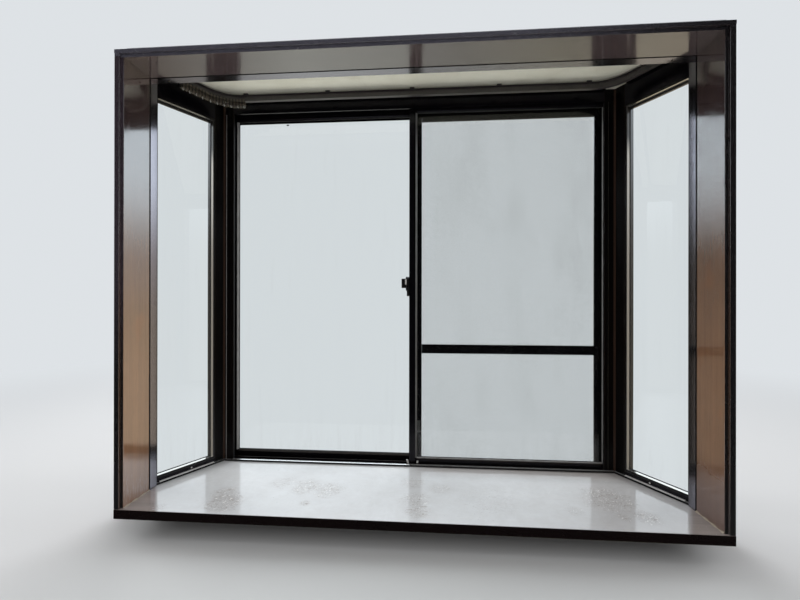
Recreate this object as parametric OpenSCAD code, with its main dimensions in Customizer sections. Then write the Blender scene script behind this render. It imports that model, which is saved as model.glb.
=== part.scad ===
// Trapezoid bay window with a two-track sliding window and fixed side lights.
// Millimetres. X runs along the wall, Y points outdoors and Z is up.
// The origin lies on the wall-side face of the bottom nailing flange, at its middle.

/* [Opening] */
// Clear width between the casing jambs
opening_w = 1650; // [1300:10:2200]
// Clear height from the counter to the casing head
opening_h = 1309; // [1000:1:1500]
// Depth from the front of the casing to the outdoor face of the wall
wall_depth = 137; // [110:1:200]

/* [Bay] */
// Angle between a side light and the wall
side_angle = 60; // [50:1:68]
// Length of a side light along its inner plane, from the wall ring to the corner
side_run = 235; // [215:1:400]
// Height of the ceiling board above the casing head
ceiling_rise = 41; // [34:1:90]
// Depth of the frame below the counter
sill_drop = 45; // [42:1:70]
// Height of the frame above the ceiling board
head_rise = 10; // [8:1:30]

/* [Casing] */
// Thickness of a jamb board
jamb_t = 23.5; // [18:0.5:35]
// Thickness of the head board
head_t = 21; // [18:0.5:35]
// Thickness of the counter board
counter_t = 27.8; // [18:0.1:40]
// Width of the recessed step along the inner front edge
step_w = 8.5; // [4:0.5:14]
// Depth of that step
step_d = 7.2; // [3:0.2:12]
// Bevel on the front edges
casing_bevel = 1.2; // [0.5:0.1:2.5]
// Thickness of the ceiling board
ceiling_t = 5.5; // [3:0.5:12]
// Open shadow line between the casing and the aluminium ring
reveal_gap = 5.5; // [1:0.5:8]

/* [Wall ring] */
// How far the ring reaches into the wall
ring_in = 19; // [12:1:40]
// How far the ring stands out of the wall
ring_out = 10.4; // [6:0.2:25]
// Thickness of the ring jamb beside the opening
ring_t = 20; // [15:1:30]
// Width of the nailing flange
flange_w = 35; // [25:1:50]
// Thickness of the nailing flange
flange_t = 2; // [1.5:0.1:4]
// Diameter of a screw hole in the flange
flange_hole = 5.2; // [4:0.1:7]
// Distance from the end of a side flange to its first hole
side_hole_end = 102.5; // [40:0.5:160]
// Pitch of the holes along the top and bottom flange
long_hole_pitch = 1200; // [600:10:1500]

/* [Frame sections] */
// Depth of the centre frame outside the screen track
screen_margin = 9; // [8:0.5:30]
// Depth of a side frame
side_d = 60; // [45:1:75]
// Setback of the frame faces behind the counter trim
face_set = 9; // [6:0.5:14]
// Width of a corner post face beside the centre window
post_face = 35; // [30:1:50]
// Width of a corner post face beside a side light
post_side_face = 35.6; // [30:0.1:50]
// Flat on the inner edge of a corner post
post_flat = 4; // [1:0.5:8]
// Thickness of the lips that cover the sashes
lip_t = 6; // [3:0.5:8]
// Drop of the head lip below the casing head
head_lip_drop = 2; // [-5:1:12]
// Wall of the thin ribs and tracks
rib_t = 2.4; // [1.6:0.2:4]
// Running clearance and fit between pieces
fit = 0.3; // [0.2:0.05:0.5]

/* [Side lights] */
// Drop of the lower edge of a side head below the casing head
side_head_drop = 40; // [20:1:300]
// Height of the glazing line above the counter
side_sill_h = 27.5; // [20:0.5:45]
// Setback of the glass behind the inner plane
side_glass_set = 25; // [21:1:32]
// Width of a glazing bead
bead_w = 8; // [6:0.5:14]
// Glass thickness
glass_t = 5; // [3:1:8]

/* [Sashes] */
// Setback of the inner sash middle behind the corner line
inner_track = 30; // [30:0.5:32]
// Pitch between the two sash tracks
track_pitch = 29; // [27:0.5:31]
// Setback of the screen track behind the outer sash track
screen_pitch = 22; // [20:0.5:24]
// Sash thickness
sash_t = 22; // [18:1:24]
// Width of an outer stile
stile_w = 30; // [26:1:40]
// Width of a meeting stile
meeting_w = 28; // [22:1:36]
// Middle of the meeting stiles, from the middle of the window
meeting_x = 1.5; // [-5:0.5:5]
// Height of the top of the bottom rails above the counter
sash_glass_z0 = 26; // [24:0.5:50]
// Drop of the lower edge of the top rails below the casing head
sash_head_drop = 12; // [12:0.5:60]
// Height of a bottom rail
bottom_rail_h = 25; // [22:1:28]
// Height of a top rail
top_rail_h = 25; // [24:0.5:32]
// Depth of the glass pocket in the sash members
pocket_d = 8; // [6:0.5:10]
// Width of the bevel beside the glass
sash_bevel = 5; // [2:0.5:7]

/* [Insect screen] */
// Thickness of the screen frame
screen_t = 10; // [8:1:12]
// Width of the screen stiles
screen_stile_w = 25; // [18:1:32]
// Lower edge of the screen mid rail above the counter
mid_rail_z = 405; // [200:5:900]
// Height of the screen mid rail
mid_rail_h = 34; // [18:1:45]
// Height of the screen bottom rail
screen_rail_h = 26; // [18:1:28]
// Height of the screen top rail
screen_top_h = 37; // [24:1:45]
// How far the right screen stile reaches past the frame jamb
screen_lap = 15; // [6:1:18]
// Thickness of the mesh sheet
mesh_t = 0.8; // [0.5:0.1:1.5]
// Left edge of the screen, from the middle of the window
screen_x0 = 8; // [0:0.5:12]

/* [Counter trim] */
// Height of the trim along the back of the counter
trim_h = 7; // [4:0.5:12]

/* [Curtain rail] */
// Distance from the corner line to the middle of the rail
rail_inset = 48; // [45:1:75]
// Bend radius of the rail
rail_bend_r = 120; // [80:5:140]
// Height of the rail section
rail_h = 23; // [18:1:28]
// Width of the rail flanges
rail_w = 12; // [9:0.5:16]
// Web and flange thickness
rail_web = 2.4; // [1.6:0.2:3]
// Height of the clips between the rail and the ceiling
clip_h = 5; // [4:0.5:8]
// Width of a clip along the rail
clip_w = 16; // [10:1:24]
// Pitch of the clips along the front of the bay
clip_pitch = 300; // [200:5:300]
// Pitch of the gathered runners
runner_pitch = 5.5; // [5:0.5:12]
// Length of a runner along the rail
runner_l = 4.2; // [3:0.2:5]
// Outer diameter of a runner eye
eye_d = 16; // [8:0.5:18]

/* [Crescent lock] */
// Height of the lock middle above the counter
lock_z = 655; // [300:5:1000]
// Height of the lock base
lock_h = 70; // [55:1:90]
// Thickness of the lock base
lock_t = 9; // [7:0.5:14]
// Radius of the crescent cam
cam_r = 15; // [12:0.5:17]
// Thickness of the cam
cam_t = 6; // [4:0.5:9]
// Length of the lever
lever_l = 34; // [26:1:50]
// Width of the lever
lever_w = 12; // [9:0.5:16]

/* [Roof and base] */
// Overhang of the roof past the frames
roof_over = 25; // [10:1:50]
// Height of the roof edge above the frame
roof_edge_h = 14; // [8:1:40]
// Rise of the roof from its front edge to the wall
roof_rise = 30; // [15:1:80]
// Depth of the fascia below the roof edge
fascia_h = 40; // [30:1:80]
// Sheet thickness of the roof and the base cover
sheet_t = 1.6; // [1.2:0.1:3]
// Width of the folded return under the fascia
drip_w = 12; // [6:1:20]
// Height of the wall flashing above the roof
flashing_h = 20; // [12:1:60]
// Lap of the flashing on the roof
flashing_lap = 50; // [30:1:80]
// Thickness of the base panel
base_t = 15; // [9:0.5:20]
// Upstand of the base cover on the frame
cover_up = 18; // [10:1:35]

/* [Hidden] */

$fn = 48;

bronze = [0.10, 0.085, 0.075];
glass_tint = [0.78, 0.86, 0.86, 0.35];
walnut = [0.27, 0.15, 0.10];
cream = [0.86, 0.83, 0.74];
rail_brown = [0.20, 0.14, 0.12];
mesh_grey = [0.35, 0.36, 0.36, 0.4];
sheet_brown = [0.16, 0.13, 0.12];
timber = [0.72, 0.58, 0.40];

half_w = opening_w / 2;
counter_z = sill_drop + flange_w / 2;
ceiling_h = opening_h + ceiling_rise;
head_lip_h = opening_h - head_lip_drop;
side_head_h = opening_h - side_head_drop;
sash_glass_z1 = opening_h - sash_head_drop;
frame_top = ceiling_h + head_rise;
frame_h = frame_top + sill_drop;
front_y = -wall_depth;
casing_back = -ring_in - reveal_gap;
corner_y = ring_out + side_run * sin(side_angle);
corner_x = half_w - side_run * cos(side_angle);
heel_x = half_w + 5 * cos(side_angle) + side_d * sin(side_angle);
flange_x = heel_x + flange_w;
half_turn = tan(side_angle / 2);
side_holes = 4;
side_hole_pitch = (frame_h - 2 * side_hole_end) / (side_holes - 1);

pane_gap = glass_t + 2 * fit;
jamb_pocket = corner_x + face_set * half_turn - post_face;
pocket_x = jamb_pocket + stile_w + 1.5;
post_arris_u = side_run + face_set * half_turn;
bead_u1 = post_arris_u - post_side_face;
side_glass_out = side_glass_set + glass_t;
outer_track = inner_track + track_pitch;
screen_track = outer_track + screen_pitch;
frame_d = screen_track + screen_margin;

track_top = 8;
track_slot = 7;
inner_floor = -3;
outer_floor = -6;
screen_floor = -28;
screen_track_top = -18;
fin_low = sash_glass_z1 + top_rail_h - 8;
channel_top = sash_glass_z1 + top_rail_h + 10;
leg_t = 2.2;
leg_w = 25;
ledge_w = 15;

sash_z0 = sash_glass_z0 - bottom_rail_h;
sash_z1 = sash_glass_z1 + top_rail_h;
screen_z0 = screen_track_top - 2;
screen_z1 = sash_z1 - 6.5;
screen_x1 = jamb_pocket - screen_lap + screen_stile_w;

rail_top = ceiling_h - clip_h;
rail_low = rail_top - rail_h;
rail_corner_u = side_run - rail_inset * half_turn;
rail_tangent = rail_bend_r * half_turn;
rail_bend_x = corner_x - rail_inset * half_turn - rail_tangent;
rail_start_u = (15 + rail_inset * cos(side_angle)) / sin(side_angle);
rail_end_u = rail_corner_u - rail_tangent;
rail_steps = 14;

roof_y1 = corner_y + frame_d + roof_over;
roof_z0 = frame_top + roof_edge_h;

// Point in plan on the left side light, u along it and w outward from its inner plane
function side_pt(u, w) = [
    -half_w + u * cos(side_angle) - w * sin(side_angle),
    ring_out + u * sin(side_angle) + w * cos(side_angle)
];

// X of the left side plane, moved outward by w, where it crosses y
function side_x(w, y) =
    -half_w + (y - ring_out - w * cos(side_angle)) / tan(side_angle) - w * sin(side_angle);

// Plan of the bay with its side faces at w and its front face at f, from the line y0 outward
function bay_plan(y0, w, f) = [
    [side_x(w, y0), y0],
    [side_x(w, corner_y + f), corner_y + f],
    [-side_x(w, corner_y + f), corner_y + f],
    [-side_x(w, y0), y0]
];

// Height of the roof surface at y
function roof_z(y) = roof_z0 + roof_rise * (roof_y1 - y) / roof_y1;

// Places a piece that is drawn from the counter top in the part's frame
module part(shade) {
    color(shade) translate([0, 0, counter_z]) children();
}

// Extrudes a section of Y and Z along X
module along_x(x0, x1) {
    translate([x0, 0, 0]) rotate([90, 0, 90]) linear_extrude(x1 - x0) children();
}

// Moves a piece from the u and w axes of the left side light into plan
module on_side() {
    translate([-half_w, ring_out, 0]) rotate([0, 0, side_angle]) children();
}

// Moves a piece to the corner line of the centre window
module on_front() {
    translate([0, corner_y, 0]) children();
}

module flange_holes(count, pitch, axis) {
    for (i = [0 : count - 1]) {
        translate((i - (count - 1) / 2) * pitch * axis) rotate([-90, 0, 0])
            translate([0, 0, -1]) cylinder(d = flange_hole, h = flange_t + 2);
    }
}

// Wall ring

module wall_head() {
    part(bronze) difference() {
        union() {
            along_x(-half_w + fit, half_w - fit) polygon([
                [-ring_in, opening_h], [ring_out, opening_h], [ring_out, ceiling_h - leg_t],
                [ring_out + ledge_w, ceiling_h - leg_t], [ring_out + ledge_w, ceiling_h],
                [ring_out, ceiling_h], [ring_out, frame_top], [-ring_in, frame_top]
            ]);
            along_x(-flange_x, flange_x) polygon([
                [0, frame_top + fit], [flange_t, frame_top + fit],
                [flange_t, frame_top + flange_w], [0, frame_top + flange_w]
            ]);
            along_x(-half_w + fit, half_w - fit)
                translate([0, frame_top - 1]) square([flange_t, 2]);
        }
        translate([0, 0, frame_top + flange_w / 2]) flange_holes(2, long_hole_pitch, [1, 0, 0]);
    }
}

module wall_sill() {
    part(bronze) difference() {
        union() {
            along_x(-half_w + fit, half_w - fit) translate([-ring_in, -sill_drop])
                square([ring_in + ring_out, sill_drop - counter_t]);
            along_x(-flange_x, flange_x)
                translate([0, -sill_drop - flange_w]) square([flange_t, flange_w - fit]);
            along_x(-half_w + fit, half_w - fit)
                translate([0, -sill_drop - 1]) square([flange_t, 2]);
        }
        translate([0, 0, -sill_drop - flange_w / 2]) flange_holes(2, long_hole_pitch, [1, 0, 0]);
    }
}

module wall_jamb_section() {
    heel = side_pt(-5, side_d);
    polygon([
        [-half_w, -ring_in], [-half_w, ring_out], side_pt(0, side_glass_out + fit),
        side_pt(bead_w - 1, side_glass_out + fit), side_pt(bead_w - 1, side_d), heel,
        [-heel_x, flange_t], [-flange_x, flange_t],
        [-flange_x, 0], [-half_w - ring_t, 0], [-half_w - ring_t, -ring_in]
    ]);
}

module wall_jamb_left() {
    part(bronze) difference() {
        translate([0, 0, -sill_drop]) linear_extrude(frame_h) wall_jamb_section();
        translate([-heel_x - flange_w / 2, 0, frame_top - frame_h / 2])
            flange_holes(side_holes, side_hole_pitch, [0, 0, 1]);
    }
}

module wall_jamb_right() {
    mirror([1, 0, 0]) wall_jamb_left();
}

// Corner posts

module corner_post_section() {
    arris_x = corner_x + face_set * half_turn;
    lip_x = jamb_pocket;
    polygon([
        side_pt(bead_u1, face_set), side_pt(post_arris_u - post_flat, face_set),
        [-arris_x + post_flat, corner_y + face_set], [-lip_x, corner_y + face_set],
        [-lip_x, corner_y + face_set + lip_t], [-pocket_x, corner_y + face_set + lip_t],
        [-pocket_x, corner_y + frame_d], [side_x(side_d, corner_y + frame_d), corner_y + frame_d],
        side_pt(bead_u1 - bead_w, side_d), side_pt(bead_u1 - bead_w, side_glass_out + fit),
        side_pt(bead_u1, side_glass_out + fit)
    ]);
}

module corner_post_left() {
    part(bronze) translate([0, 0, -sill_drop]) linear_extrude(frame_h) corner_post_section();
}

module corner_post_right() {
    mirror([1, 0, 0]) corner_post_left();
}

// Centre window frame

module track_rib(y, z0, z1) {
    translate([y - rib_t / 2, z0]) square([rib_t, z1 - z0]);
}

module head_section() {
    top = frame_top;
    union() {
        translate([face_set, channel_top]) square([frame_d - face_set, top - channel_top]);
        translate([face_set, head_lip_h]) square([lip_t, channel_top - head_lip_h + 1]);
        translate([face_set - ledge_w, ceiling_h - leg_t]) square([ledge_w + 1, leg_t]);
        track_rib(inner_track, fin_low, channel_top + 1);
        track_rib((inner_track + outer_track) / 2, head_lip_h, channel_top + 1);
        track_rib(outer_track, fin_low, channel_top + 1);
        track_rib(outer_track + sash_t / 2 + 3, head_lip_h - 7, channel_top + 1);
        track_rib(screen_track, fin_low - 8, channel_top + 1);
        track_rib(frame_d - rib_t / 2, head_lip_h - 11, channel_top + 1);
    }
}

module post_clearance() {
    for (s = [-1, 1]) {
        translate([s * (jamb_pocket - fit + 50), face_set + (lip_t + fit) / 2 - 25, 0])
            cube([100, lip_t + fit + 50, 4 * frame_h], center = true);
    }
}

module head_track() {
    part(bronze) on_front() difference() {
        along_x(-pocket_x + fit, pocket_x - fit) head_section();
        post_clearance();
    }
}

module sill_section() {
    polygon([
        [face_set - leg_w, -sill_drop], [frame_d, -sill_drop], [frame_d, screen_floor + 4],
        [frame_d - rib_t, screen_floor + 4], [frame_d - rib_t, screen_floor],
        [screen_track + rib_t / 2, screen_floor], [screen_track + rib_t / 2, screen_track_top],
        [screen_track - rib_t / 2, screen_track_top], [screen_track - rib_t / 2, screen_floor],
        [outer_track + sash_t / 2 + 3, screen_floor], [outer_track + sash_t / 2 + 3, outer_floor],
        [outer_track + rib_t / 2, outer_floor], [outer_track + rib_t / 2, track_top],
        [outer_track - rib_t / 2, track_top], [outer_track - rib_t / 2, outer_floor],
        [(inner_track + outer_track) / 2, outer_floor],
        [(inner_track + outer_track) / 2, inner_floor],
        [inner_track + rib_t / 2, inner_floor], [inner_track + rib_t / 2, track_top],
        [inner_track - rib_t / 2, track_top], [inner_track - rib_t / 2, inner_floor],
        [face_set + rib_t, inner_floor], [face_set + rib_t, trim_h], [face_set, trim_h],
        [face_set, -sill_drop + leg_t], [face_set - leg_w, -sill_drop + leg_t]
    ]);
}

module sill_track() {
    part(bronze) on_front() difference() {
        along_x(-pocket_x + fit, pocket_x - fit) sill_section();
        post_clearance();
    }
}

// Side lights

module side_head_left() {
    low = side_head_h + bead_w;
    part(bronze) on_side() union() {
        along_x(fit, bead_u1 - fit) translate([face_set, low])
            square([side_glass_out + fit - face_set, frame_top - low]);
        along_x(bead_w - 1 + fit, bead_u1 - bead_w - fit)
            translate([side_glass_out + fit, side_head_h])
            square([side_d - side_glass_out - fit, frame_top - side_head_h]);
        along_x(40, bead_u1 - 10) translate([face_set - ledge_w, ceiling_h - leg_t])
            square([ledge_w + 1, leg_t]);
    }
}

module side_head_right() {
    mirror([1, 0, 0]) side_head_left();
}

module side_sill_left() {
    rebate = side_sill_h - bead_w;
    part(bronze) on_side() union() {
        along_x(fit, bead_u1 - fit) translate([face_set, -sill_drop])
            square([side_glass_out + fit - face_set, sill_drop + rebate]);
        along_x(bead_w - 1 + fit, bead_u1 - bead_w - fit) polygon([
            [side_glass_out + fit, -sill_drop], [side_d, -sill_drop], [side_d, side_sill_h - 8],
            [side_glass_out + fit + 5, side_sill_h], [side_glass_out + fit, side_sill_h]
        ]);
        along_x(40, bead_u1 - 10) translate([face_set - leg_w, -sill_drop])
            square([leg_w + 1, leg_t]);
    }
}

module side_sill_right() {
    mirror([1, 0, 0]) side_sill_left();
}

module side_glass_left() {
    part(glass_tint) on_side() translate([2 * fit, side_glass_set, side_sill_h - bead_w + fit])
        cube([bead_u1 - 4 * fit, glass_t, side_head_h - side_sill_h + 2 * (bead_w - fit)]);
}

module side_glass_right() {
    mirror([1, 0, 0]) side_glass_left();
}

// Bead section, w across the frame and v away from the rebate
module bead_section(width) {
    w0 = face_set + 0.5;
    w1 = side_glass_set - fit;
    polygon([
        [w0, fit], [w1, fit], [w1, width], [w0 + 1.5, width], [w0, width - 1.5]
    ]);
}

module side_beads_left() {
    run = bead_u1 - 2 * fit;
    z0 = side_sill_h - bead_w;
    z1 = side_head_h + bead_w;
    part(bronze) on_side() {
        // Along the sill, with its flat top as the sight line
        translate([0, 0, z0]) along_x(fit, fit + run)
            translate([face_set + 0.5, fit])
            square([side_glass_set - fit - face_set - 0.5, bead_w - fit]);
        // Along the head
        translate([0, 0, z1]) along_x(fit, fit + run)
            translate([face_set + 0.5, -bead_w])
            square([side_glass_set - fit - face_set - 0.5, bead_w - fit]);
        // Beside the wall and beside the corner post
        translate([0, 0, side_sill_h + fit]) linear_extrude(side_head_h - side_sill_h - 2 * fit) {
            mirror([1, -1]) bead_section(bead_w - 1);
            translate([bead_u1, 0]) mirror([1, 0]) mirror([1, -1]) bead_section(bead_w);
        }
    }
}

module side_beads_right() {
    mirror([1, 0, 0]) side_beads_left();
}

// Sliding sashes

// Member section, v away from the glass and t across the sash, with a slot for the track
module member_section(width, slot_w, slot_d) {
    polygon([
        [0, -sash_t / 2 + sash_bevel + 1], [sash_bevel, -sash_t / 2], [width, -sash_t / 2],
        [width, -slot_w / 2], [width - slot_d, -slot_w / 2], [width - slot_d, slot_w / 2],
        [width, slot_w / 2], [width, sash_t / 2], [sash_bevel, sash_t / 2],
        [0, sash_t / 2 - sash_bevel - 1], [0, pane_gap / 2], [pocket_d + fit, pane_gap / 2],
        [pocket_d + fit, -pane_gap / 2], [0, -pane_gap / 2]
    ]);
}

// Rail from x0 to x1 with its glass edge at z, opening up or down
module sash_rail(x0, x1, z, width, slot_w, slot_d, up) {
    translate([x0, 0, z]) mirror([0, 0, up ? 0 : 1]) rotate([0, 90, 0])
        linear_extrude(x1 - x0) member_section(width, slot_w, slot_d);
}

// Stile with its glass edge at x, opening to the right or to the left
module sash_stile(x, width, right) {
    translate([x, 0, sash_z0]) mirror([right ? 1 : 0, 0, 0]) difference() {
        linear_extrude(sash_z1 - sash_z0) member_section(width, pane_gap, 0.01);
        translate([-1, -track_slot / 2, -1])
            cube([width + 2, track_slot, track_top + fit - sash_z0 + 1]);
        translate([-1, -track_slot / 2, sash_z1 - sash_z0 - 10])
            cube([width + 2, track_slot, 11]);
    }
}

module sash_bottom_rail(x0, x1) {
    sash_rail(x0, x1, sash_glass_z0, bottom_rail_h, track_slot, track_top + fit - sash_z0, true);
}

module sash_top_rail(x0, x1) {
    sash_rail(x0, x1, sash_glass_z1, top_rail_h, track_slot, 10, false);
}

module sash_pane(x0, x1) {
    translate([x0 - pocket_d, -glass_t / 2, sash_glass_z0 - pocket_d])
        cube([x1 - x0 + 2 * pocket_d, glass_t, sash_glass_z1 - sash_glass_z0 + 2 * pocket_d]);
}

module on_inner_track() {
    on_front() translate([0, inner_track, 0]) children();
}

module on_outer_track() {
    on_front() translate([0, outer_track, 0]) children();
}

left_x0 = -jamb_pocket;
left_x1 = meeting_x - meeting_w / 2;
right_x0 = meeting_x + meeting_w / 2;
right_x1 = jamb_pocket;
between_sashes = track_pitch - sash_t;

module left_sash_top_rail() {
    part(bronze) on_outer_track() sash_top_rail(left_x0 + fit, left_x1 - fit);
}

module left_sash_bottom_rail() {
    part(bronze) on_outer_track() sash_bottom_rail(left_x0 + fit, left_x1 - fit);
}

module left_sash_meeting_stile() {
    part(bronze) on_outer_track() union() {
        sash_stile(left_x1, meeting_w, false);
        translate([meeting_x + 7, -sash_t / 2 - between_sashes + 2, sash_z0 + 20])
            cube([rib_t, between_sashes - 1, sash_z1 - sash_z0 - 40]);
    }
}

module left_sash_outer_stile() {
    part(bronze) on_outer_track() sash_stile(left_x0, stile_w, true);
}

module left_sash_glass() {
    part(glass_tint) on_outer_track() sash_pane(left_x0, left_x1);
}

module right_sash_top_rail() {
    part(bronze) on_inner_track() sash_top_rail(right_x0 + fit, right_x1 - fit);
}

module right_sash_bottom_rail() {
    part(bronze) on_inner_track() sash_bottom_rail(right_x0 + fit, right_x1 - fit);
}

module right_sash_meeting_stile() {
    part(bronze) on_inner_track() union() {
        sash_stile(right_x0, meeting_w, true);
        translate([meeting_x + 3, sash_t / 2 - 1, sash_z0 + 20])
            cube([rib_t, between_sashes - 1, sash_z1 - sash_z0 - 40]);
    }
}

module right_sash_outer_stile() {
    part(bronze) on_inner_track() sash_stile(right_x1, stile_w, false);
}

module right_sash_glass() {
    part(glass_tint) on_inner_track() sash_pane(right_x0, right_x1);
}

// Insect screen

module on_screen_track() {
    on_front() translate([0, screen_track, 0]) children();
}

module screen_stile(x) {
    difference() {
        translate([x, -screen_t / 2, screen_z0])
            cube([screen_stile_w, screen_t, screen_z1 - screen_z0]);
        translate([x - 1, -rib_t / 2 - fit, screen_z0 - 1])
            cube([screen_stile_w + 2, rib_t + 2 * fit, screen_track_top + fit - screen_z0 + 1]);
        translate([x - 1, -rib_t / 2 - fit, fin_low - 8 - fit])
            cube([screen_stile_w + 2, rib_t + 2 * fit, screen_z1]);
    }
}

module screen_stiles() {
    part(bronze) on_screen_track() {
        screen_stile(screen_x0);
        screen_stile(screen_x1 - screen_stile_w);
    }
}

module screen_rail(z, h, cut_z0, cut_z1) {
    x0 = screen_x0 + screen_stile_w + fit;
    difference() {
        translate([x0, -screen_t / 2, z])
            cube([screen_x1 - screen_stile_w - fit - x0, screen_t, h]);
        translate([x0 - 1, -rib_t / 2 - fit, cut_z0])
            cube([screen_x1 - x0 + 2, rib_t + 2 * fit, cut_z1 - cut_z0]);
    }
}

module screen_rails() {
    part(bronze) on_screen_track() {
        screen_rail(screen_z0, screen_rail_h, screen_z0 - 1, screen_track_top + fit);
        screen_rail(mid_rail_z, mid_rail_h, 0, 1);
        screen_rail(screen_z1 - screen_top_h, screen_top_h, fin_low - 8 - fit, screen_z1 + 1);
    }
}

module mesh_panel(z0, z1) {
    x0 = screen_x0 + screen_stile_w;
    translate([x0, -mesh_t / 2, z0])
        cube([screen_x1 - screen_stile_w - x0, mesh_t, z1 - z0]);
}

module screen_mesh() {
    part(mesh_grey) on_screen_track() {
        mesh_panel(screen_z0 + screen_rail_h, mid_rail_z);
        mesh_panel(mid_rail_z + mid_rail_h, screen_z1 - screen_top_h);
    }
}

// Casing, counter and ceiling

// Board section with a stepped front edge, v outward from the opening and d from the front
module casing_section(thick) {
    depth = casing_back - front_y;
    polygon([
        [0, step_d + casing_bevel], [casing_bevel, step_d], [step_w, step_d],
        [step_w, casing_bevel], [step_w + casing_bevel, 0], [thick - casing_bevel, 0],
        [thick, casing_bevel], [thick, depth], [0, depth]
    ]);
}

module jamb_board_left() {
    part(walnut) translate([-half_w, front_y, 0]) mirror([1, 0, 0])
        linear_extrude(opening_h) casing_section(jamb_t);
}

module jamb_board_right() {
    mirror([1, 0, 0]) jamb_board_left();
}

// Short length of the jamb section above the opening, which closes the step at the corner
module casing_corner() {
    translate([-half_w, front_y, opening_h]) mirror([1, 0, 0])
        linear_extrude(step_w + casing_bevel) casing_section(jamb_t);
}

module head_board() {
    part(walnut) union() {
        translate([-half_w - jamb_t, front_y, opening_h]) rotate([90, 0, 90])
            linear_extrude(opening_w + 2 * jamb_t) mirror([1, -1]) casing_section(head_t);
        casing_corner();
        mirror([1, 0, 0]) casing_corner();
    }
}

module counter_board() {
    edge = face_set - fit;
    seat = side_pt(fit, edge);
    front = half_w + jamb_t;
    back_x = -side_x(edge, corner_y + edge);
    part(walnut) difference() {
        translate([0, 0, -counter_t]) linear_extrude(counter_t) polygon([
            [-front, front_y], [-front, casing_back], [-half_w + fit, casing_back],
            [-half_w + fit, ring_out], seat, [-back_x, corner_y + edge],
            [back_x, corner_y + edge], [-seat[0], seat[1]], [half_w - fit, ring_out],
            [half_w - fit, casing_back], [front, casing_back], [front, front_y]
        ]);
        for (z = [0, -counter_t]) {
            translate([0, front_y, z]) rotate([45, 0, 0])
                cube([2 * front + 2, casing_bevel * 1.4, casing_bevel * 1.4], center = true);
        }
    }
}

module trim_bar(u0, u1) {
    along_x(u0, u1) square([face_set - fit, trim_h]);
}

module counter_trim() {
    cut = (face_set - fit) * half_turn;
    part(bronze) {
        on_front() linear_extrude(trim_h) polygon([
            [-corner_x + fit, 0], [corner_x - fit, 0],
            [corner_x - fit + cut, face_set - fit], [-corner_x + fit - cut, face_set - fit]
        ]);
        for (s = [0, 1]) {
            mirror([s, 0, 0]) on_side() linear_extrude(trim_h) polygon([
                [fit, 0], [side_run - fit, 0], [side_run - fit + cut, face_set - fit],
                [fit, face_set - fit]
            ]);
        }
    }
}

module ceiling_board() {
    edge = face_set - fit;
    part(cream) translate([0, 0, ceiling_h]) linear_extrude(ceiling_t) polygon([
        [-half_w + 2, ring_out + fit], side_pt(1, edge), [side_x(edge, corner_y + edge), corner_y + edge],
        [-side_x(edge, corner_y + edge), corner_y + edge], [-side_pt(1, edge)[0], side_pt(1, edge)[1]],
        [half_w - 2, ring_out + fit]
    ]);
}

// Curtain rail, an I section bent round the bay

// Stations along the rail as x, y and the direction of its outer side
function rail_stations() = let (
    bend_y = corner_y - rail_inset - rail_bend_r,
    start = side_pt(rail_start_u, -rail_inset)
) concat(
    [[start[0], start[1], 90 + side_angle]],
    [for (i = [0 : rail_steps]) let (a = 90 + side_angle * (1 - i / rail_steps))
        [-rail_bend_x + rail_bend_r * cos(a), bend_y + rail_bend_r * sin(a), a]],
    [for (i = [0 : rail_steps]) let (a = 90 - side_angle * i / rail_steps)
        [rail_bend_x + rail_bend_r * cos(a), bend_y + rail_bend_r * sin(a), a]],
    [[-start[0], start[1], 90 - side_angle]]
);

// Moves a piece onto the bend of the left corner, at an angle from the front run
module on_bend(angle) {
    translate([-rail_bend_x, corner_y - rail_inset - rail_bend_r, 0]) rotate([0, 0, angle])
        children();
}

// Plan of a strip along the rail, half on either side of its middle
function rail_plan(half) = let (stations = rail_stations(), last = len(stations) - 1) concat(
    [for (s = stations) [s[0] + half * cos(s[2]), s[1] + half * sin(s[2])]],
    [for (i = [last : -1 : 0]) let (s = stations[i])
        [s[0] - half * cos(s[2]), s[1] - half * sin(s[2])]]
);

module rail_strip(z, h, wide) {
    translate([0, 0, z]) linear_extrude(h) polygon(rail_plan(wide / 2));
}

module curtain_rail() {
    part(rail_brown) union() {
        rail_strip(rail_low + rail_web / 2, rail_h - rail_web, rail_web);
        rail_strip(rail_low, rail_web, rail_w);
        rail_strip(rail_top - rail_web, rail_web, rail_w);
    }
}

module rail_clip() {
    clip = rail_w + 3;
    translate([-clip_w / 2, -clip / 2, rail_top]) cube([clip_w, clip, clip_h]);
}

module rail_clips() {
    part(rail_brown) {
        for (i = [-2 : 2]) {
            translate([i * clip_pitch, corner_y - rail_inset, 0]) rail_clip();
        }
        for (s = [0, 1]) {
            mirror([s, 0, 0]) on_side() translate([rail_start_u + clip_w, -rail_inset, 0])
                rail_clip();
        }
    }
}

// Runner section that clasps the lower flange and carries an eye
module runner_section() {
    width = rail_w + 5;
    low = rail_low - 3;
    difference() {
        union() {
            translate([-width / 2, low]) square([width, 3 + rail_web + 3.5]);
            translate([0, low - eye_d / 2 + 1.5]) circle(d = eye_d, $fn = 20);
        }
        translate([-rail_w / 2 - fit, rail_low - fit]) square([rail_w + 2 * fit, rail_web + 2 * fit]);
        translate([-rail_web / 2 - fit, rail_low]) square([rail_web + 2 * fit, 20]);
        translate([0, low - eye_d / 2 + 1]) circle(d = eye_d - 4.4, $fn = 20);
    }
}

module runner() {
    translate([-runner_l / 2, 0, 0]) rotate([90, 0, 90]) linear_extrude(runner_l) runner_section();
}

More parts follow.
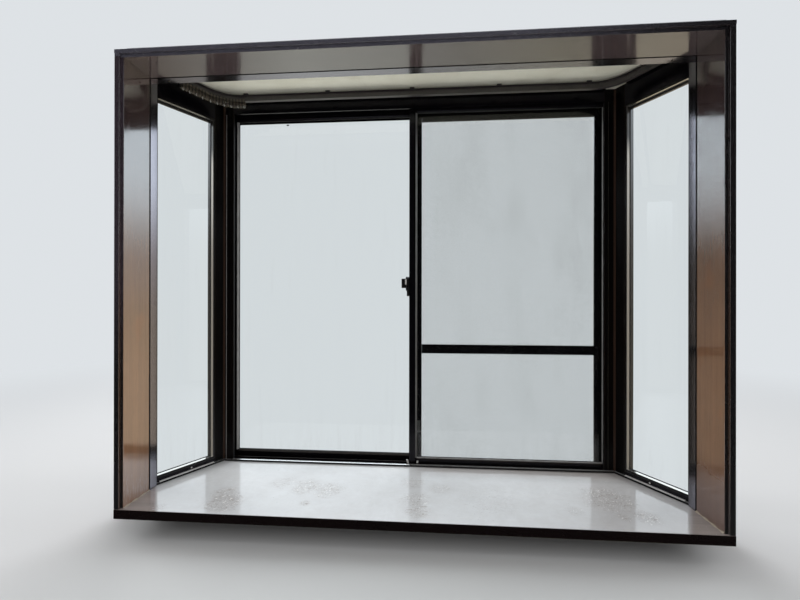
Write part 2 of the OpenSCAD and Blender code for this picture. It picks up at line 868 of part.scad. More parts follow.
module curtain_runners() {
    side_count = floor((rail_end_u - rail_start_u - 4) / runner_pitch);
    bend_step = runner_pitch / rail_bend_r * 180 / PI;
    bend_count = floor(side_angle / bend_step);
    part(rail_brown) {
        for (i = [0 : side_count - 1]) {
            on_side() translate([rail_end_u - (i + 0.5) * runner_pitch, -rail_inset, 0]) runner();
        }
        for (i = [0 : bend_count - 1]) {
            on_bend(side_angle - (i + 0.5) * side_angle / bend_count)
                translate([0, rail_bend_r, 0]) runner();
        }
        translate([-rail_bend_x + runner_pitch / 2, corner_y - rail_inset, 0]) runner();
    }
}

// Crescent lock on the meeting stile of the inner sash

module lock_place() {
    on_inner_track() translate([meeting_x - meeting_w / 2, 0, lock_z]) children();
}

module crescent_body() {
    r = sash_t / 2 - 3;
    part(bronze) lock_place() rotate([0, -90, 0]) union() {
        linear_extrude(lock_t) {
            translate([-lock_h / 2 + r, 0]) circle(r = r);
            translate([lock_h / 2 - r, 0]) circle(r = r);
            translate([-lock_h / 2 + r, -r]) square([lock_h - 2 * r, 2 * r]);
        }
        translate([12, 0, 0]) cylinder(d = 9, h = lock_t + cam_t + 2);
    }
}

module crescent_lever() {
    part(bronze) lock_place() translate([-lock_t - fit, 0, 12]) rotate([0, -90, 0]) difference() {
        union() {
            intersection() {
                cylinder(r = cam_r, h = cam_t);
                translate([-cam_r, -2, 0]) cube([2 * cam_r, cam_r + 2, cam_t]);
            }
            cylinder(d = 16, h = cam_t + 1);
            translate([0, -cam_r - 2, 0]) {
                translate([-lever_l / 2, -lever_w / 2, 0]) cube([lever_l, lever_w, cam_t + 12]);
                translate([-lever_w / 2, 0, 0]) cube([lever_w, cam_r, cam_t]);
            }
        }
        translate([0, 0, -1]) cylinder(d = 9 + 2 * fit, h = 40);
    }
}

module crescent_catch() {
    part(bronze) on_outer_track() translate([left_x1 - 14, -sash_t / 2 - rib_t - fit, lock_z - 14])
        difference() {
            cube([29, rib_t, 52]);
            translate([-1, -1, 20]) cube([9, rib_t + 2, 12]);
        }
}

// Roof and base

module roof_prism(w, f, lower, y0, z0) {
    intersection() {
        translate([0, 0, z0]) linear_extrude(roof_z(y0) + 200 - z0) polygon(bay_plan(y0, w, f));
        along_x(-opening_w, opening_w) polygon([
            [y0 - 1, z0 - 1], [roof_y1 + 50, z0 - 1], [roof_y1 + 50, roof_z(roof_y1 + 50) - lower],
            [y0 - 1, roof_z(y0 - 1) - lower]
        ]);
    }
}

module roof_cap() {
    z0 = roof_z0 - fascia_h;
    part(sheet_brown) difference() {
        roof_prism(side_d + roof_over, frame_d + roof_over, 0, flange_t + fit, z0);
        difference() {
            roof_prism(
                side_d + roof_over - sheet_t, frame_d + roof_over - sheet_t, sheet_t, -5, z0 + sheet_t
            );
        }
        translate([0, 0, z0 - 1]) linear_extrude(sheet_t + 2)
            polygon(bay_plan(-5, side_d + roof_over - drip_w, frame_d + roof_over - drip_w));
    }
}

module roof_core() {
    part(timber) roof_prism(side_d, frame_d, sheet_t, flange_t + 10, frame_top);
}

module roof_flashing() {
    wide = -side_x(side_d + roof_over, flange_t + fit) - 5;
    part(sheet_brown) along_x(-wide, wide) polygon([
        [0, roof_z(0)], [flashing_lap, roof_z(flashing_lap)],
        [flashing_lap, roof_z(flashing_lap) + sheet_t], [sheet_t, roof_z(sheet_t) + sheet_t],
        [sheet_t, roof_z(0) + flashing_h], [0, roof_z(0) + flashing_h]
    ]);
}

module base_panel() {
    edge = face_set - fit;
    seat = side_pt(fit, edge);
    back_x = -side_x(edge, corner_y + edge);
    part(timber) translate([0, 0, -counter_t - base_t]) linear_extrude(base_t) polygon([
        [-half_w + fit, ring_out + fit], seat, [-back_x, corner_y + edge],
        [back_x, corner_y + edge], [-seat[0], seat[1]], [half_w - fit, ring_out + fit]
    ]);
}

module base_cover() {
    clip_x = flange_x - 3;
    part(sheet_brown) intersection() {
        difference() {
            translate([0, 0, -sill_drop - sheet_t]) linear_extrude(sheet_t + cover_up)
                polygon(bay_plan(flange_t, side_d + fit + sheet_t, frame_d + fit + sheet_t));
            translate([0, 0, -sill_drop]) linear_extrude(cover_up + 1)
                polygon(bay_plan(-5, side_d + fit, frame_d + fit));
        }
        translate([-clip_x, flange_t, -2 * sill_drop]) cube([2 * clip_x, roof_y1, 4 * sill_drop]);
    }
}

wall_head();
wall_sill();
wall_jamb_left();
wall_jamb_right();
corner_post_left();
corner_post_right();
head_track();
sill_track();
side_head_left();
side_head_right();
side_sill_left();
side_sill_right();
side_glass_left();
side_glass_right();
side_beads_left();
side_beads_right();
left_sash_top_rail();
left_sash_bottom_rail();
left_sash_meeting_stile();
left_sash_outer_stile();
left_sash_glass();
right_sash_top_rail();
right_sash_bottom_rail();
right_sash_meeting_stile();
right_sash_outer_stile();
right_sash_glass();
screen_stiles();
screen_rails();
screen_mesh();
counter_board();
counter_trim();
jamb_board_left();
jamb_board_right();
head_board();
ceiling_board();
curtain_rail();
rail_clips();
curtain_runners();
roof_cap();
roof_core();
roof_flashing();
base_panel();
base_cover();
crescent_body();
crescent_lever();
crescent_catch();
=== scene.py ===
"""Trapezoid bay window: finishes, small fittings, camera and a plain studio.

Lengths are in metres. In a finish, noise scales are in waves per metre.
"""

import logging
import math
import random
from dataclasses import dataclass
from enum import Enum
from typing import Callable, Union

import bmesh
import bpy
from mathutils import Matrix, Vector

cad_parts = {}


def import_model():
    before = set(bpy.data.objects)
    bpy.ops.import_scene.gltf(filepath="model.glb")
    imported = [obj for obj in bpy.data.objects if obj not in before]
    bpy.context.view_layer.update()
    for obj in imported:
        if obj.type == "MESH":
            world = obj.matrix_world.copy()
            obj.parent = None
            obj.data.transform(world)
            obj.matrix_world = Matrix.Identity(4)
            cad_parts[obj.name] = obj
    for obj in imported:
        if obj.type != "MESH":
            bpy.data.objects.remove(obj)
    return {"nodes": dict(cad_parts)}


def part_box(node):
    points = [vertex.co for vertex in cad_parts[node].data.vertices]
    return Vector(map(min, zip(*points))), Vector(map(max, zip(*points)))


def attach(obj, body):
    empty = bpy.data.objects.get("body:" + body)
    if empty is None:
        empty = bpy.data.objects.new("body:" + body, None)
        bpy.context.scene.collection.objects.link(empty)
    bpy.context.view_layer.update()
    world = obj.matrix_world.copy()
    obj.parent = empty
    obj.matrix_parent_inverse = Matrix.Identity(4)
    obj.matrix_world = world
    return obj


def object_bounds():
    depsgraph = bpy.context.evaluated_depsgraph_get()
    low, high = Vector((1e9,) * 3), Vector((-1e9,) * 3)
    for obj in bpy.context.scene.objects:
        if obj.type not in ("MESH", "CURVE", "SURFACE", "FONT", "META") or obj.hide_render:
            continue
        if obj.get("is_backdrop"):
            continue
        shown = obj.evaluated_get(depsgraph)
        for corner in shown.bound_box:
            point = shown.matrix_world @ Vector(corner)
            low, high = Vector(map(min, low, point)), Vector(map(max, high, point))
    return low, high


LOG = logging.getLogger("bay_window")
Colour = tuple[float, float, float]
Pair = tuple[float, float]
Point = Union[Vector, Colour]
Outline = tuple[Pair, ...]
Lips = tuple[float, float, float, float]
Material = bpy.types.Material
Object = bpy.types.Object
Socket = bpy.types.NodeSocket
Number = Union["Signal", Socket, float, int, tuple]
X, Y, Z = (1.0, 0.0, 0.0), (0.0, 1.0, 0.0), (0.0, 0.0, 1.0)
SIN_60 = 0.8660254


class Run(Enum):
    """The direction in which a member is extruded or a board's grain runs."""

    ACROSS = X
    UP = Z
    LEFT_SIDE = (0.5, SIN_60, 0.0)
    RIGHT_SIDE = (-0.5, SIN_60, 0.0)


class Slot(Enum):
    """Material slot names that added pieces are handed; Piece.done does not read them."""

    BRONZE = "bronze_aluminium"
    GLASS = "window_glass"
    CASING = "casing_wood"
    COUNTER = "counter_wood"
    CEILING = "ceiling_panel"
    RAIL = "rail_brown"
    RUNNER = "runner_plastic"
    SHEET = "sheet_bronze"
    LOCK = "lock_metal"


class Signal:
    """A shader number. Arithmetic on it adds Math nodes to its sheet."""

    def __init__(self, sheet: "Sheet", socket: Socket) -> None:
        """Wraps one output socket of a sheet."""
        self.sheet = sheet
        self.socket = socket

    def _math(self, operation: str, *operands: Number) -> "Signal":
        """Adds one Math node that works on its operands in order."""
        return self.sheet.signal("Math", {"operation": operation}, dict(enumerate(operands)))

    def __add__(self, other: Number) -> "Signal":
        """self + other"""
        return self._math("ADD", self, other)

    __radd__ = __add__

    def __sub__(self, other: Number) -> "Signal":
        """self - other"""
        return self._math("SUBTRACT", self, other)

    def __rsub__(self, other: Number) -> "Signal":
        """other - self"""
        return self._math("SUBTRACT", other, self)

    def __mul__(self, other: Number) -> "Signal":
        """self * other"""
        return self._math("MULTIPLY", self, other)

    __rmul__ = __mul__

    def __abs__(self) -> "Signal":
        """abs(self)"""
        return self._math("ABSOLUTE", self)

    def high(self, other: Number) -> "Signal":
        """The larger of the two."""
        return self._math("MAXIMUM", self, other)

    def low(self, other: Number) -> "Signal":
        """The smaller of the two."""
        return self._math("MINIMUM", self, other)

    def wave(self) -> "Signal":
        """The sine of the number."""
        return self._math("SINE", self)

    def step(self, start: float, end: float) -> "Signal":
        """A smooth rise from 0 to 1.

        Args:
            start: The value at which the result is 0.
            end: The value at which the result is 1. It may lie below start.

        Returns:
            The rise.
        """
        low, high = sorted((start, end))
        falls = end < start
        return self.sheet.signal(
            "MapRange",
            {"interpolation_type": "SMOOTHSTEP", "clamp": True},
            {0: self, 1: low, 2: high, 3: float(falls), 4: float(not falls)},
        )


class Sheet:
    """The node tree of one finish."""

    def __init__(self, name: str, tree: bpy.types.NodeTree | None = None) -> None:
        """Starts an empty tree.

        Args:
            name: The name of the new material.
            tree: An existing tree to empty and use instead, as the world's.
        """
        self.material = None
        if tree is None:
            self.material = bpy.data.materials.new(name)
            self.material.use_nodes = True
            tree = self.material.node_tree
        self.tree = tree
        self.tree.nodes.clear()

    def node(self, kind: str, settings: dict, sockets: dict) -> bpy.types.Node:
        """Adds any node.

        Args:
            kind: The node's type name without its prefix.
            settings: Properties that are set first.
            sockets: Values or links of its inputs, by name or number.

        Returns:
            The node.
        """
        made = self.tree.nodes.new(f"ShaderNode{kind}")
        for key, value in settings.items():
            setattr(made, key, value)
        for key, value in sockets.items():
            self.feed(made.inputs[key], value)
        return made

    def signal(self, kind: str, settings: dict, sockets: dict, out: int | str = 0) -> Signal:
        """Adds any node and wraps one of its outputs."""
        return Signal(self, self.node(kind, settings, sockets).outputs[out])

    def feed(self, socket: Socket, value: Number) -> None:
        """Links or sets one input socket.

        Args:
            socket: The input.
            value: A signal, an output socket, a colour or a number.
        """
        if isinstance(value, Signal):
            value = value.socket
        if isinstance(value, Socket):
            self.tree.links.new(value, socket)
        elif isinstance(value, tuple) and socket.type == "RGBA":
            socket.default_value = (*value, 1.0)[:4]
        else:
            socket.default_value = value

    def place(self, output: str = "Object") -> Socket:
        """The point on the object, or in a world the direction looked at."""
        return self.node("TexCoord", {}, {}).outputs[output]

    def part_of(self, point: Socket, axis: Colour) -> Signal:
        """How far a point lies along an axis."""
        return self.signal("VectorMath", {"operation": "DOT_PRODUCT"}, {0: point, 1: axis}, "Value")

    def facing(self, axis: Colour) -> Signal:
        """How far the surface faces along an axis, from -1 to 1."""
        return self.part_of(self.node("NewGeometry", {}, {}).outputs["Normal"], axis)

    def noise(self, where: Socket, scale: float, detail: float = 3.0, rough: float = 0.5,
              warp: float = 0.0) -> Signal:
        """Smooth noise from 0 to 1. Rough is the finer octaves' share, warp how far it bends."""
        names = ("Vector", "Scale", "Detail", "Roughness", "Distortion")
        return self.signal("TexNoise", {}, dict(zip(names, (where, scale, detail, rough, warp))))

    def grain(self, run: Run, along: float, across: float, *kind: float) -> Signal:
        """Noise that is drawn out along a direction.

        Args:
            run: The direction.
            along: Waves per metre along it.
            across: Waves per metre across it.
            kind: The detail, roughness and warp of the noise.

        Returns:
            The noise, from 0 to 1.
        """
        point = self.place()
        ahead = Vector(run.value)
        side = Vector(Z).cross(ahead) if abs(ahead.z) < 0.5 else Vector(X)
        axes = ((side, across), (ahead.cross(side), across), (ahead, along))
        parts = {i: self.part_of(point, tuple(a)) * scale for i, (a, scale) in enumerate(axes)}
        return self.noise(self.node("CombineXYZ", {}, parts).outputs[0], 1.0, *kind)

    def cells(self, where: Socket, scale: float) -> Signal:
        """Distance to the middle of scattered cells."""
        return self.signal("TexVoronoi", {}, {"Vector": where, "Scale": scale}, "Distance")

    def blend(self, mask: Number, first: Number, second: Number) -> Socket:
        """A colour between two, the first where the mask is 0 and the second where it is 1."""
        return self.node("Mix", {"data_type": "RGBA"}, {0: mask, 6: first, 7: second}).outputs[2]

    def layers(self, base: Number, *coats: tuple[Number, Number]) -> Socket:
        """Lays colours over a base.

        Args:
            base: The lowest colour.
            coats: A mask and a colour for each coat, from below upwards.

        Returns:
            The colour on top.
        """
        for mask, colour in coats:
            base = self.blend(mask, base, colour)
        return base

    def ramp(self, mask: Signal, stops: tuple[tuple[float, Colour], ...]) -> Socket:
        """A colour read from stops.

        Args:
            mask: Where to read it, from 0 to 1.
            stops: The position and colour of each stop.

        Returns:
            The colour.
        """
        made = self.node("ValToRGB", {}, {0: mask})
        elements = made.color_ramp.elements
        elements.remove(elements[0])
        for index, (position, colour) in enumerate(stops):
            element = elements.new(position) if index else elements[0]
            element.position = position
            element.color = (*colour, 1.0)
        return made.outputs[0]

    def bump(self, height: Signal, distance: float, strength: float) -> Socket:
        """A normal that follows a height, with the distance in metres."""
        sockets = {"Height": height, "Distance": distance, "Strength": strength}
        return self.node("Bump", {}, sockets).outputs[0]

    def surface(self, **sockets: Number) -> Socket:
        """A Principled shader. Socket names are written with underscores."""
        named = {key.replace("_", " "): value for key, value in sockets.items()}
        return self.node("BsdfPrincipled", {}, named).outputs[0]

    def either(self, mask: Number, first: Socket, second: Socket) -> Socket:
        """A mix of two shaders, the first where the mask is 0 and the second where it is 1."""
        return self.node("MixShader", {}, {0: mask, 1: first, 2: second}).outputs[0]

    def clear(self, colour: Colour = (1.0, 1.0, 1.0)) -> Socket:
        """A shader that lets rays straight through."""
        return self.node("BsdfTransparent", {}, {"Color": colour}).outputs[0]

    def ray(self, *kinds: str) -> Signal:
        """1 for rays of any of these kinds, and 0 for others.

        Args:
            kinds: Names of the kinds, as Camera or Glossy.

        Returns:
            The mask.
        """
        path = self.node("LightPath", {}, {})
        first, *others = [Signal(self, path.outputs[f"Is {kind} Ray"]) for kind in kinds]
        for other in others:
            first = first.high(other)
        return first

    def show(self, shader: Socket) -> Material | None:
        """Ends the tree in a shader and gives the material, or nothing for a world."""
        self.node("OutputMaterial" if self.material else "OutputWorld", {}, {"Surface": shader})
        return self.material


@dataclass(frozen=True)
class Finish:
    """A procedural finish. Each kind says with shade() what its sheet holds."""

    name: str

    def make(self) -> Material:
        """Builds the material."""
        sheet = Sheet(self.name)
        return sheet.show(self.shade(sheet))


@dataclass(frozen=True)
class BronzeAluminium(Finish):
    """Near-black bronze finish on extruded aluminium, with settled dust."""

    run: Run
    tone: Colour = (0.0026, 0.0024, 0.0034)
    warm: Colour = (0.0052, 0.0040, 0.0046)
    gloss: float = 0.14
    ior: float = 1.34
    dust: float = 0.3
    dust_tone: Colour = (0.21, 0.185, 0.16)
    tint: Colour = (0.92, 0.89, 1.0)

    def shade(self, sheet: Sheet) -> Socket:
        """Draws drawing lines, clouds, a thin film and dust on upward faces.

        Args:
            sheet: The sheet that takes the nodes.

        Returns:
            The shader.
        """
        point = sheet.place()
        lines = sheet.grain(self.run, 2.0, 900.0, 2.0)
        cloud = sheet.noise(point, 9.0, 4.0, 0.6, 0.4)
        film = sheet.noise(point, 130.0, 3.0, 0.7)
        speck = sheet.cells(point, 260.0).step(0.16, 0.05)
        settled = sheet.facing(Z).step(0.55, 0.95) * (0.35 + film * 0.9) * self.dust
        haze = (settled + speck * 0.045 * cloud.step(0.45, 0.75)).low(1.0)
        body = sheet.blend(cloud.step(0.35, 0.8) * 0.55 + lines * 0.2, self.tone, self.warm)
        return sheet.surface(
            Base_Color=sheet.blend(haze, body, self.dust_tone),
            Roughness=self.gloss + lines * 0.05 + cloud * 0.07 + haze * 0.35,
            Normal=sheet.bump(lines * 0.5 + film * 0.5, 0.00002, 0.6),
            IOR=self.ior,
            Specular_Tint=self.tint,
        )


@dataclass(frozen=True)
class BronzeWithPaintedLight(Finish):
    """Bronze member whose faces in one direction are painted bright: a painted highlight.

    The span says how far a face turns along the axis where the painted highlight starts and where
    it is full. With an end highlight, the member's near end is pale too as a painted reflection,
    and more so below end_fade. shaded_right takes that share of the highlight off to the right as
    painted shade.
    """

    run: Run
    axis: Colour
    span: Pair
    tone: Colour = (0.003, 0.0025, 0.0026)
    bright: Colour = (0.50, 0.475, 0.44)
    metal: float = 0.9
    ior: float = 1.45
    end_highlight: Colour | None = None
    end_fade: Pair = (1.24, 1.16)
    shaded_right: float = 0.0

    def shade(self, sheet: Sheet) -> Socket:
        """Draws the painted highlight on the faces and the painted reflection on the end.

        Args:
            sheet: The sheet that takes the nodes.

        Returns:
            The shader.
        """
        point = sheet.place()
        lines = sheet.grain(self.run, 2.0, 900.0, 2.0)
        cloud = sheet.noise(point, 14.0, 4.0, 0.6, 0.4)
        # Faces turned along the axis: painted highlight, as bright metal.
        worn = abs(sheet.facing(self.axis)).step(*self.span)
        if self.shaded_right > 0:
            # Painted shade takes the highlight off to the right.
            right = sheet.part_of(point, X).step(-0.02, 0.02)
            worn = worn * (1 - right * self.shaded_right)
        colour = sheet.blend(worn * (0.82 + cloud * 0.3).low(1.0), self.tone, self.bright)
        metal = worn * self.metal
        # The near end: painted reflection, paler below end_fade.
        if self.end_highlight is not None:
            end = sheet.facing(self.run.value).step(-0.7, -0.9)
            low = sheet.part_of(point, Z).step(*self.end_fade)
            pale = sheet.blend(low * 0.9 + 0.1, self.tone, self.end_highlight)
            colour = sheet.blend(end, colour, pale)
            metal = metal * (1 - end * 0.6)
        return sheet.surface(
            Base_Color=colour,
            Roughness=0.12 + lines * 0.06 + cloud * 0.08,
            Metallic=metal,
            Normal=sheet.bump(lines, 0.00002, 0.5),
            IOR=self.ior,
        )


@dataclass(frozen=True)
class WoodFoil(Finish):
    """Glossy brown woodgrain, paler low down as painted light, with a near-black front as painted
    shade.

    The turn is where the left side's look goes over into the right side's painted shade, in x. The
    fade is the height at which the painted light low down starts and the height at which it is
    full.
    """

    run: Run
    # Front edge colours are painted light and shade: lighter on the left and high, darker on the
    # right and low.
    edge: Colour
    edge_right_shade: Colour
    edge_low_shade: Colour = (0.010, 0.007, 0.007)
    edge_fall: Pair = (0.80, 0.40)
    lip_y: float = -0.1282
    lip_blur: float = 0.002
    turn: Pair = (-0.2, 0.2)
    dark: Colour = (0.038, 0.027, 0.030)
    body: Colour = (0.058, 0.037, 0.036)
    pale: Colour = (0.086, 0.053, 0.042)
    # Painted light: the paler colour low down.
    light_tone: Colour = (0.42, 0.212, 0.108)
    # Painted shade at the foot.
    foot: Colour = (0.090, 0.024, 0.006)
    amber: Colour = (0.40, 0.13, 0.035)
    chip: Colour = (0.09, 0.06, 0.045)
    fade: Pair = (1.22, 0.30)
    foot_z: Pair = (0.26, 0.10)
    ior: float = 2.6

    def shade(self, sheet: Sheet) -> Socket:
        """Draws the grain, the painted light low down, the painted shade at the foot and on the
        front edge.

        Args:
            sheet: The sheet that takes the nodes.

        Returns:
            The shader.
        """
        point = sheet.place()
        figure = sheet.grain(self.run, 1.1, 42.0, 6.0, 0.62, 0.6)
        fibre = sheet.grain(self.run, 5.0, 420.0, 3.0, 0.7)
        pores = sheet.grain(self.run, 22.0, 1500.0, 1.0).step(0.62, 0.72)
        amber = sheet.grain(self.run, 6.0, 11.0, 2.0).step(0.60, 0.76)
        cloud = sheet.noise(point, 4.5, 3.0, 0.6)
        grain = figure * 0.75 + fibre * 0.35 + cloud * 0.25 - 0.18
        level = sheet.part_of(point, Z)
        # Left side to right side: only the painted light and shade differ.
        across = sheet.part_of(point, X).step(*self.turn)
        # Painted shade at the foot, more on the right.
        shaded = level.step(*self.foot_z) * (0.15 + across * 0.4)
        # Painted light, paler towards the foot, less on the right.
        lit_low = level.step(*self.fade) * (1 - across * 0.2) * (1 - shaded)
        wood = sheet.layers(
            sheet.ramp(grain, ((0.28, self.dark), (0.5, self.body), (0.78, self.pale))),
            (lit_low * (0.42 + grain * 0.55).low(1.0), self.light_tone),
            (pores * 0.35, self.dark),
            (shaded * 0.9, self.foot),
            (amber * 0.3 * lit_low, self.amber),
        )
        lip = sheet.part_of(point, Y).step(self.lip_y, self.lip_y - self.lip_blur)
        front = sheet.facing((0, -1, 0)).step(0.35, 0.75).high(lip * 0.75)
        chips = sheet.noise(point, 240.0, 4.0, 0.75).step(0.72, 0.76)
        # Painted shade on the front edge: darker low down and on the right.
        edge = sheet.blend(level.step(*self.edge_fall), self.edge, self.edge_low_shade)
        edge = sheet.blend(across, edge, self.edge_right_shade)
        dull = sheet.noise(point, 16.0, 4.0, 0.6, 0.5)
        rough = 0.06 + dull.step(0.4, 0.75) * 0.06 + fibre * 0.05 + front * 0.14
        height = (fibre * 0.5 + figure * 0.25 - pores * 0.4) * (1 - shaded * 0.9)
        return sheet.surface(
            Base_Color=sheet.layers(wood, (front, edge), (front * chips * 0.35, self.chip)),
            Roughness=rough + pores * 0.08 + shaded * 0.9,
            Normal=sheet.bump(height, 0.00006, 0.5),
            IOR=self.ior,
        )


@dataclass(frozen=True)
class CounterTop(Finish):
    """Polished counter with a milky top that also carries painted light and shade, scuffs and
    scratches.

    Each patch holds x, y, radius and strength. An end holds a direction in plan, and where along it
    the brown starts and is full; the brown ends are painted shade and reflection of the jambs.
    """

    front_y: float
    top_z: float
    back_y: float
    patches: tuple[tuple[float, float, float, float], ...] = (
        (-0.415, 0.058, 0.050, 0.7), (-0.335, 0.040, 0.055, 1.3), (-0.262, 0.024, 0.055, 1.3),
        (-0.578, -0.020, 0.045, 1.2), (-0.552, -0.070, 0.060, 1.7), (-0.309, -0.061, 0.018, 1.3),
        (-0.725, -0.113, 0.022, 1.0), (0.004, 0.095, 0.045, 0.7), (0.018, -0.020, 0.050, 1.0),
        (0.030, -0.078, 0.045, 0.9), (0.095, 0.061, 0.040, 0.6), (0.479, -0.043, 0.030, 0.6),
        (0.600, 0.030, 0.085, 1.1), (0.668, -0.066, 0.040, 1.6), (0.605, -0.070, 0.022, 1.2),
        (0.250, 0.000, 0.100, 0.3),
    )
    # Painted shade and reflection of the jambs at the counter's ends.
    right_end_shade: tuple[Colour, Pair] = ((0.84, -0.541, 0.0), (0.684, 0.700))
    left_end_shade: tuple[Colour, Pair] = ((0.807, 0.591, 0.0), (-0.654, -0.668))
    wood: tuple[tuple[float, Colour], ...] = (
        (0.3, (0.15, 0.105, 0.088)), (0.55, (0.225, 0.165, 0.14)), (0.8, (0.30, 0.23, 0.195)),
    )
    # Part real milky film, part painted light.
    milk_and_light: Colour = (0.755, 0.765, 0.79)
    scuff: Colour = (0.19, 0.135, 0.115)
    flake: Colour = (0.93, 0.92, 0.91)
    scratch: Colour = (0.70, 0.68, 0.67)
    spot: Colour = (0.10, 0.08, 0.07)
    edge: Colour = (0.0075, 0.0042, 0.0042)

    def shade(self, sheet: Sheet) -> Socket:
        """Draws the wood, its milky film with painted light and shade, and all that has worn it.

        Args:
            sheet: The sheet that takes the nodes.

        Returns:
            The shader.
        """
        point = sheet.place()
        figure = sheet.grain(Run.ACROSS, 1.4, 36.0, 6.0, 0.6, 0.5)
        fibre = sheet.grain(Run.ACROSS, 7.0, 380.0, 3.0, 0.7)
        cloud = sheet.noise(point, 7.0, 5.0, 0.62, 0.6)
        blot = sheet.noise(point, 34.0, 5.0, 0.7, 0.8)
        worn = self._worn(sheet, point)
        grit = sheet.noise(point, 190.0, 5.0, 0.8, 1.6).step(0.53, 0.68)
        ripple = sheet.grain(Run.ACROSS, 55.0, 220.0, 3.0, 0.7, 1.0).step(0.57, 0.68)
        marks = worn * grit.high(ripple)
        fleck = worn * sheet.grain(Run.LEFT_SIDE, 90.0, 190.0, 3.0, 0.6, 1.4).step(0.58, 0.66)
        scratch = self._scratches(sheet)
        spots = sheet.cells(point, 70.0).step(0.10, 0.05) * cloud.step(0.56, 0.66)
        flat = sheet.facing(Z).step(0.3, 0.9)
        smear = sheet.grain(Run.ACROSS, 3.0, 14.0, 5.0, 0.65, 1.0).step(0.45, 0.8)
        film = self._film_and_light(sheet, point, (cloud - 0.5) * 0.30 + (blot - 0.5) * 0.22)
        colour = sheet.layers(
            sheet.ramp(figure * 0.7 + fibre * 0.3, self.wood),
            ((film * (1 - worn * 0.08)).high(0.0).low(1.0), self.milk_and_light),
            (marks.low(1.0) * 0.9, self.scuff),
            (fleck * 0.6, self.flake),
            (scratch * 0.3, self.scratch),
            (spots * 0.6, self.spot),
        )
        rough = 0.10 + smear * 0.10 + (marks + fleck).low(1.3) * 0.3 + scratch * 0.15
        height = fibre * 0.3 + cloud * 0.5 + marks + fleck * 1.2 - scratch * 0.5
        return sheet.surface(
            Base_Color=sheet.blend(flat, self.edge, colour),
            Roughness=rough + (1 - flat) * 0.16 + blot.step(0.62, 0.7) * 0.12,
            Normal=sheet.bump(height, 0.00005, 0.5),
            IOR=1.34,
        )

    def _film_and_light(self, sheet: Sheet, point: Socket, mottle: Signal) -> Signal:
        """The strength of the milky film, which also holds painted shade at the ends, the right and
        the rear.

        Args:
            sheet: The finish's sheet.
            point: The point on the object.
            mottle: What clouds and blots add.

        Returns:
            The strength.
        """
        depth = sheet.part_of(point, Y)
        across = sheet.part_of(point, X)
        fade = depth.step(self.front_y - 0.10, self.back_y - 0.10)
        # Painted reflection of the inner sash's bottom rail, near the rear on the right.
        rear = depth.step(self.back_y - 0.10, self.back_y - 0.01) * across.step(-0.04, 0.12) * 0.4
        # Painted shade and reflection of the jambs at both ends.
        ends = [
            sheet.part_of(point, axis).step(*span) * share
            for (axis, span), share in ((self.right_end_shade, 0.75), (self.left_end_shade, 0.85))
        ]
        film = 0.90 - fade * 0.10 + mottle
        # The loss towards the right is painted shade.
        for loss in (across.step(0.25, 0.62) * 0.22, *ends, rear):
            film = film * (1 - loss)
        return film

    def _worn(self, sheet: Sheet, point: Socket) -> Signal:
        """Patches of fine scuffs where pots have stood.

        Args:
            sheet: The finish's sheet.
            point: The point on the object.

        Returns:
            The patch's strength, and 0 elsewhere.
        """
        shape = sheet.noise(point, 26.0, 4.0, 0.7, 1.0)
        total = None
        for x, y, radius, share in self.patches:
            places = {0: point, 1: (x, y, self.top_z)}
            off = sheet.signal("VectorMath", {"operation": "DISTANCE"}, places, "Value")
            patch = (off * (1 / radius) + shape - 0.5).step(1.15, 0.45) * share
            total = patch if total is None else total.high(patch)
        return total

    def _scratches(self, sheet: Sheet) -> Signal:
        """Fine scratches that run roughly along the counter."""
        first = sheet.grain(Run.ACROSS, 14.0, 260.0, 2.0, 0.5, 1.6).step(0.70, 0.74)
        return first.high(sheet.grain(Run.LEFT_SIDE, 9.0, 300.0, 2.0, 0.5, 1.2).step(0.71, 0.75))


@dataclass(frozen=True)
class WindowGlass(Finish):
    """Clear float glass with a trace of dirt that gathers at the foot."""

    foot_z: float
    tint: Colour = (0.972, 0.986, 0.982)
    thin: Colour = (0.93, 0.95, 0.945)
    soil: Colour = (0.62, 0.60, 0.56)

    def shade(self, sheet: Sheet) -> Socket:
        """Draws the pane and its dirt.

        Args:
            sheet: The sheet that takes the nodes.

        Returns:
            The shader.
        """
        point = sheet.place()
        glass = sheet.surface(
            Base_Color=self.tint, Roughness=0.0, IOR=1.5, Transmission_Weight=1.0
        )
        passing = sheet.ray("Shadow", "Diffuse", "Glossy")
        pane = sheet.either(passing, glass, sheet.clear(self.thin))
        low = sheet.part_of(point, Z).step(self.foot_z + 0.16, self.foot_z - 0.01)
        runs = sheet.grain(Run.UP, 5.0, 60.0, 4.0, 0.6, 0.3)
        drops = sheet.cells(point, 85.0).step(0.14, 0.10) * sheet.noise(point, 12.0).step(0.5, 0.7)
        dirt = low * runs.step(0.35, 0.8) * 0.03 + runs.step(0.5, 0.8) * 0.012 + drops * 0.02
        return sheet.either(dirt, pane, sheet.surface(Base_Color=self.soil, Roughness=0.8))


@dataclass(frozen=True)
class InsectNet(Finish):
    """Fine woven net, seen as threads with open meshes."""

    pitch: float = 0.0013
    thread: float = 0.00026
    clean: Colour = (0.07, 0.07, 0.07)
    dusty: Colour = (0.19, 0.18, 0.16)

    def shade(self, sheet: Sheet) -> Socket:
        """Draws the threads.

        Args:
            sheet: The sheet that takes the nodes.

        Returns:
            The shader.
        """
        edge = math.cos(math.pi * self.thread / self.pitch)
        across, up = [
            (sheet.part_of(sheet.place(), axis) * (2 * math.pi / self.pitch)).wave()
            .step(edge - 0.12, edge + 0.02) for axis in (X, Z)
        ]
        dirt = sheet.grain(Run.UP, 3.0, 9.0, 4.0).step(0.45, 0.8)
        return sheet.surface(
            Base_Color=sheet.blend(dirt, self.clean, self.dusty),
            Roughness=0.55,
            Alpha=across.high(up) * (0.34 + dirt * 0.14),
        )


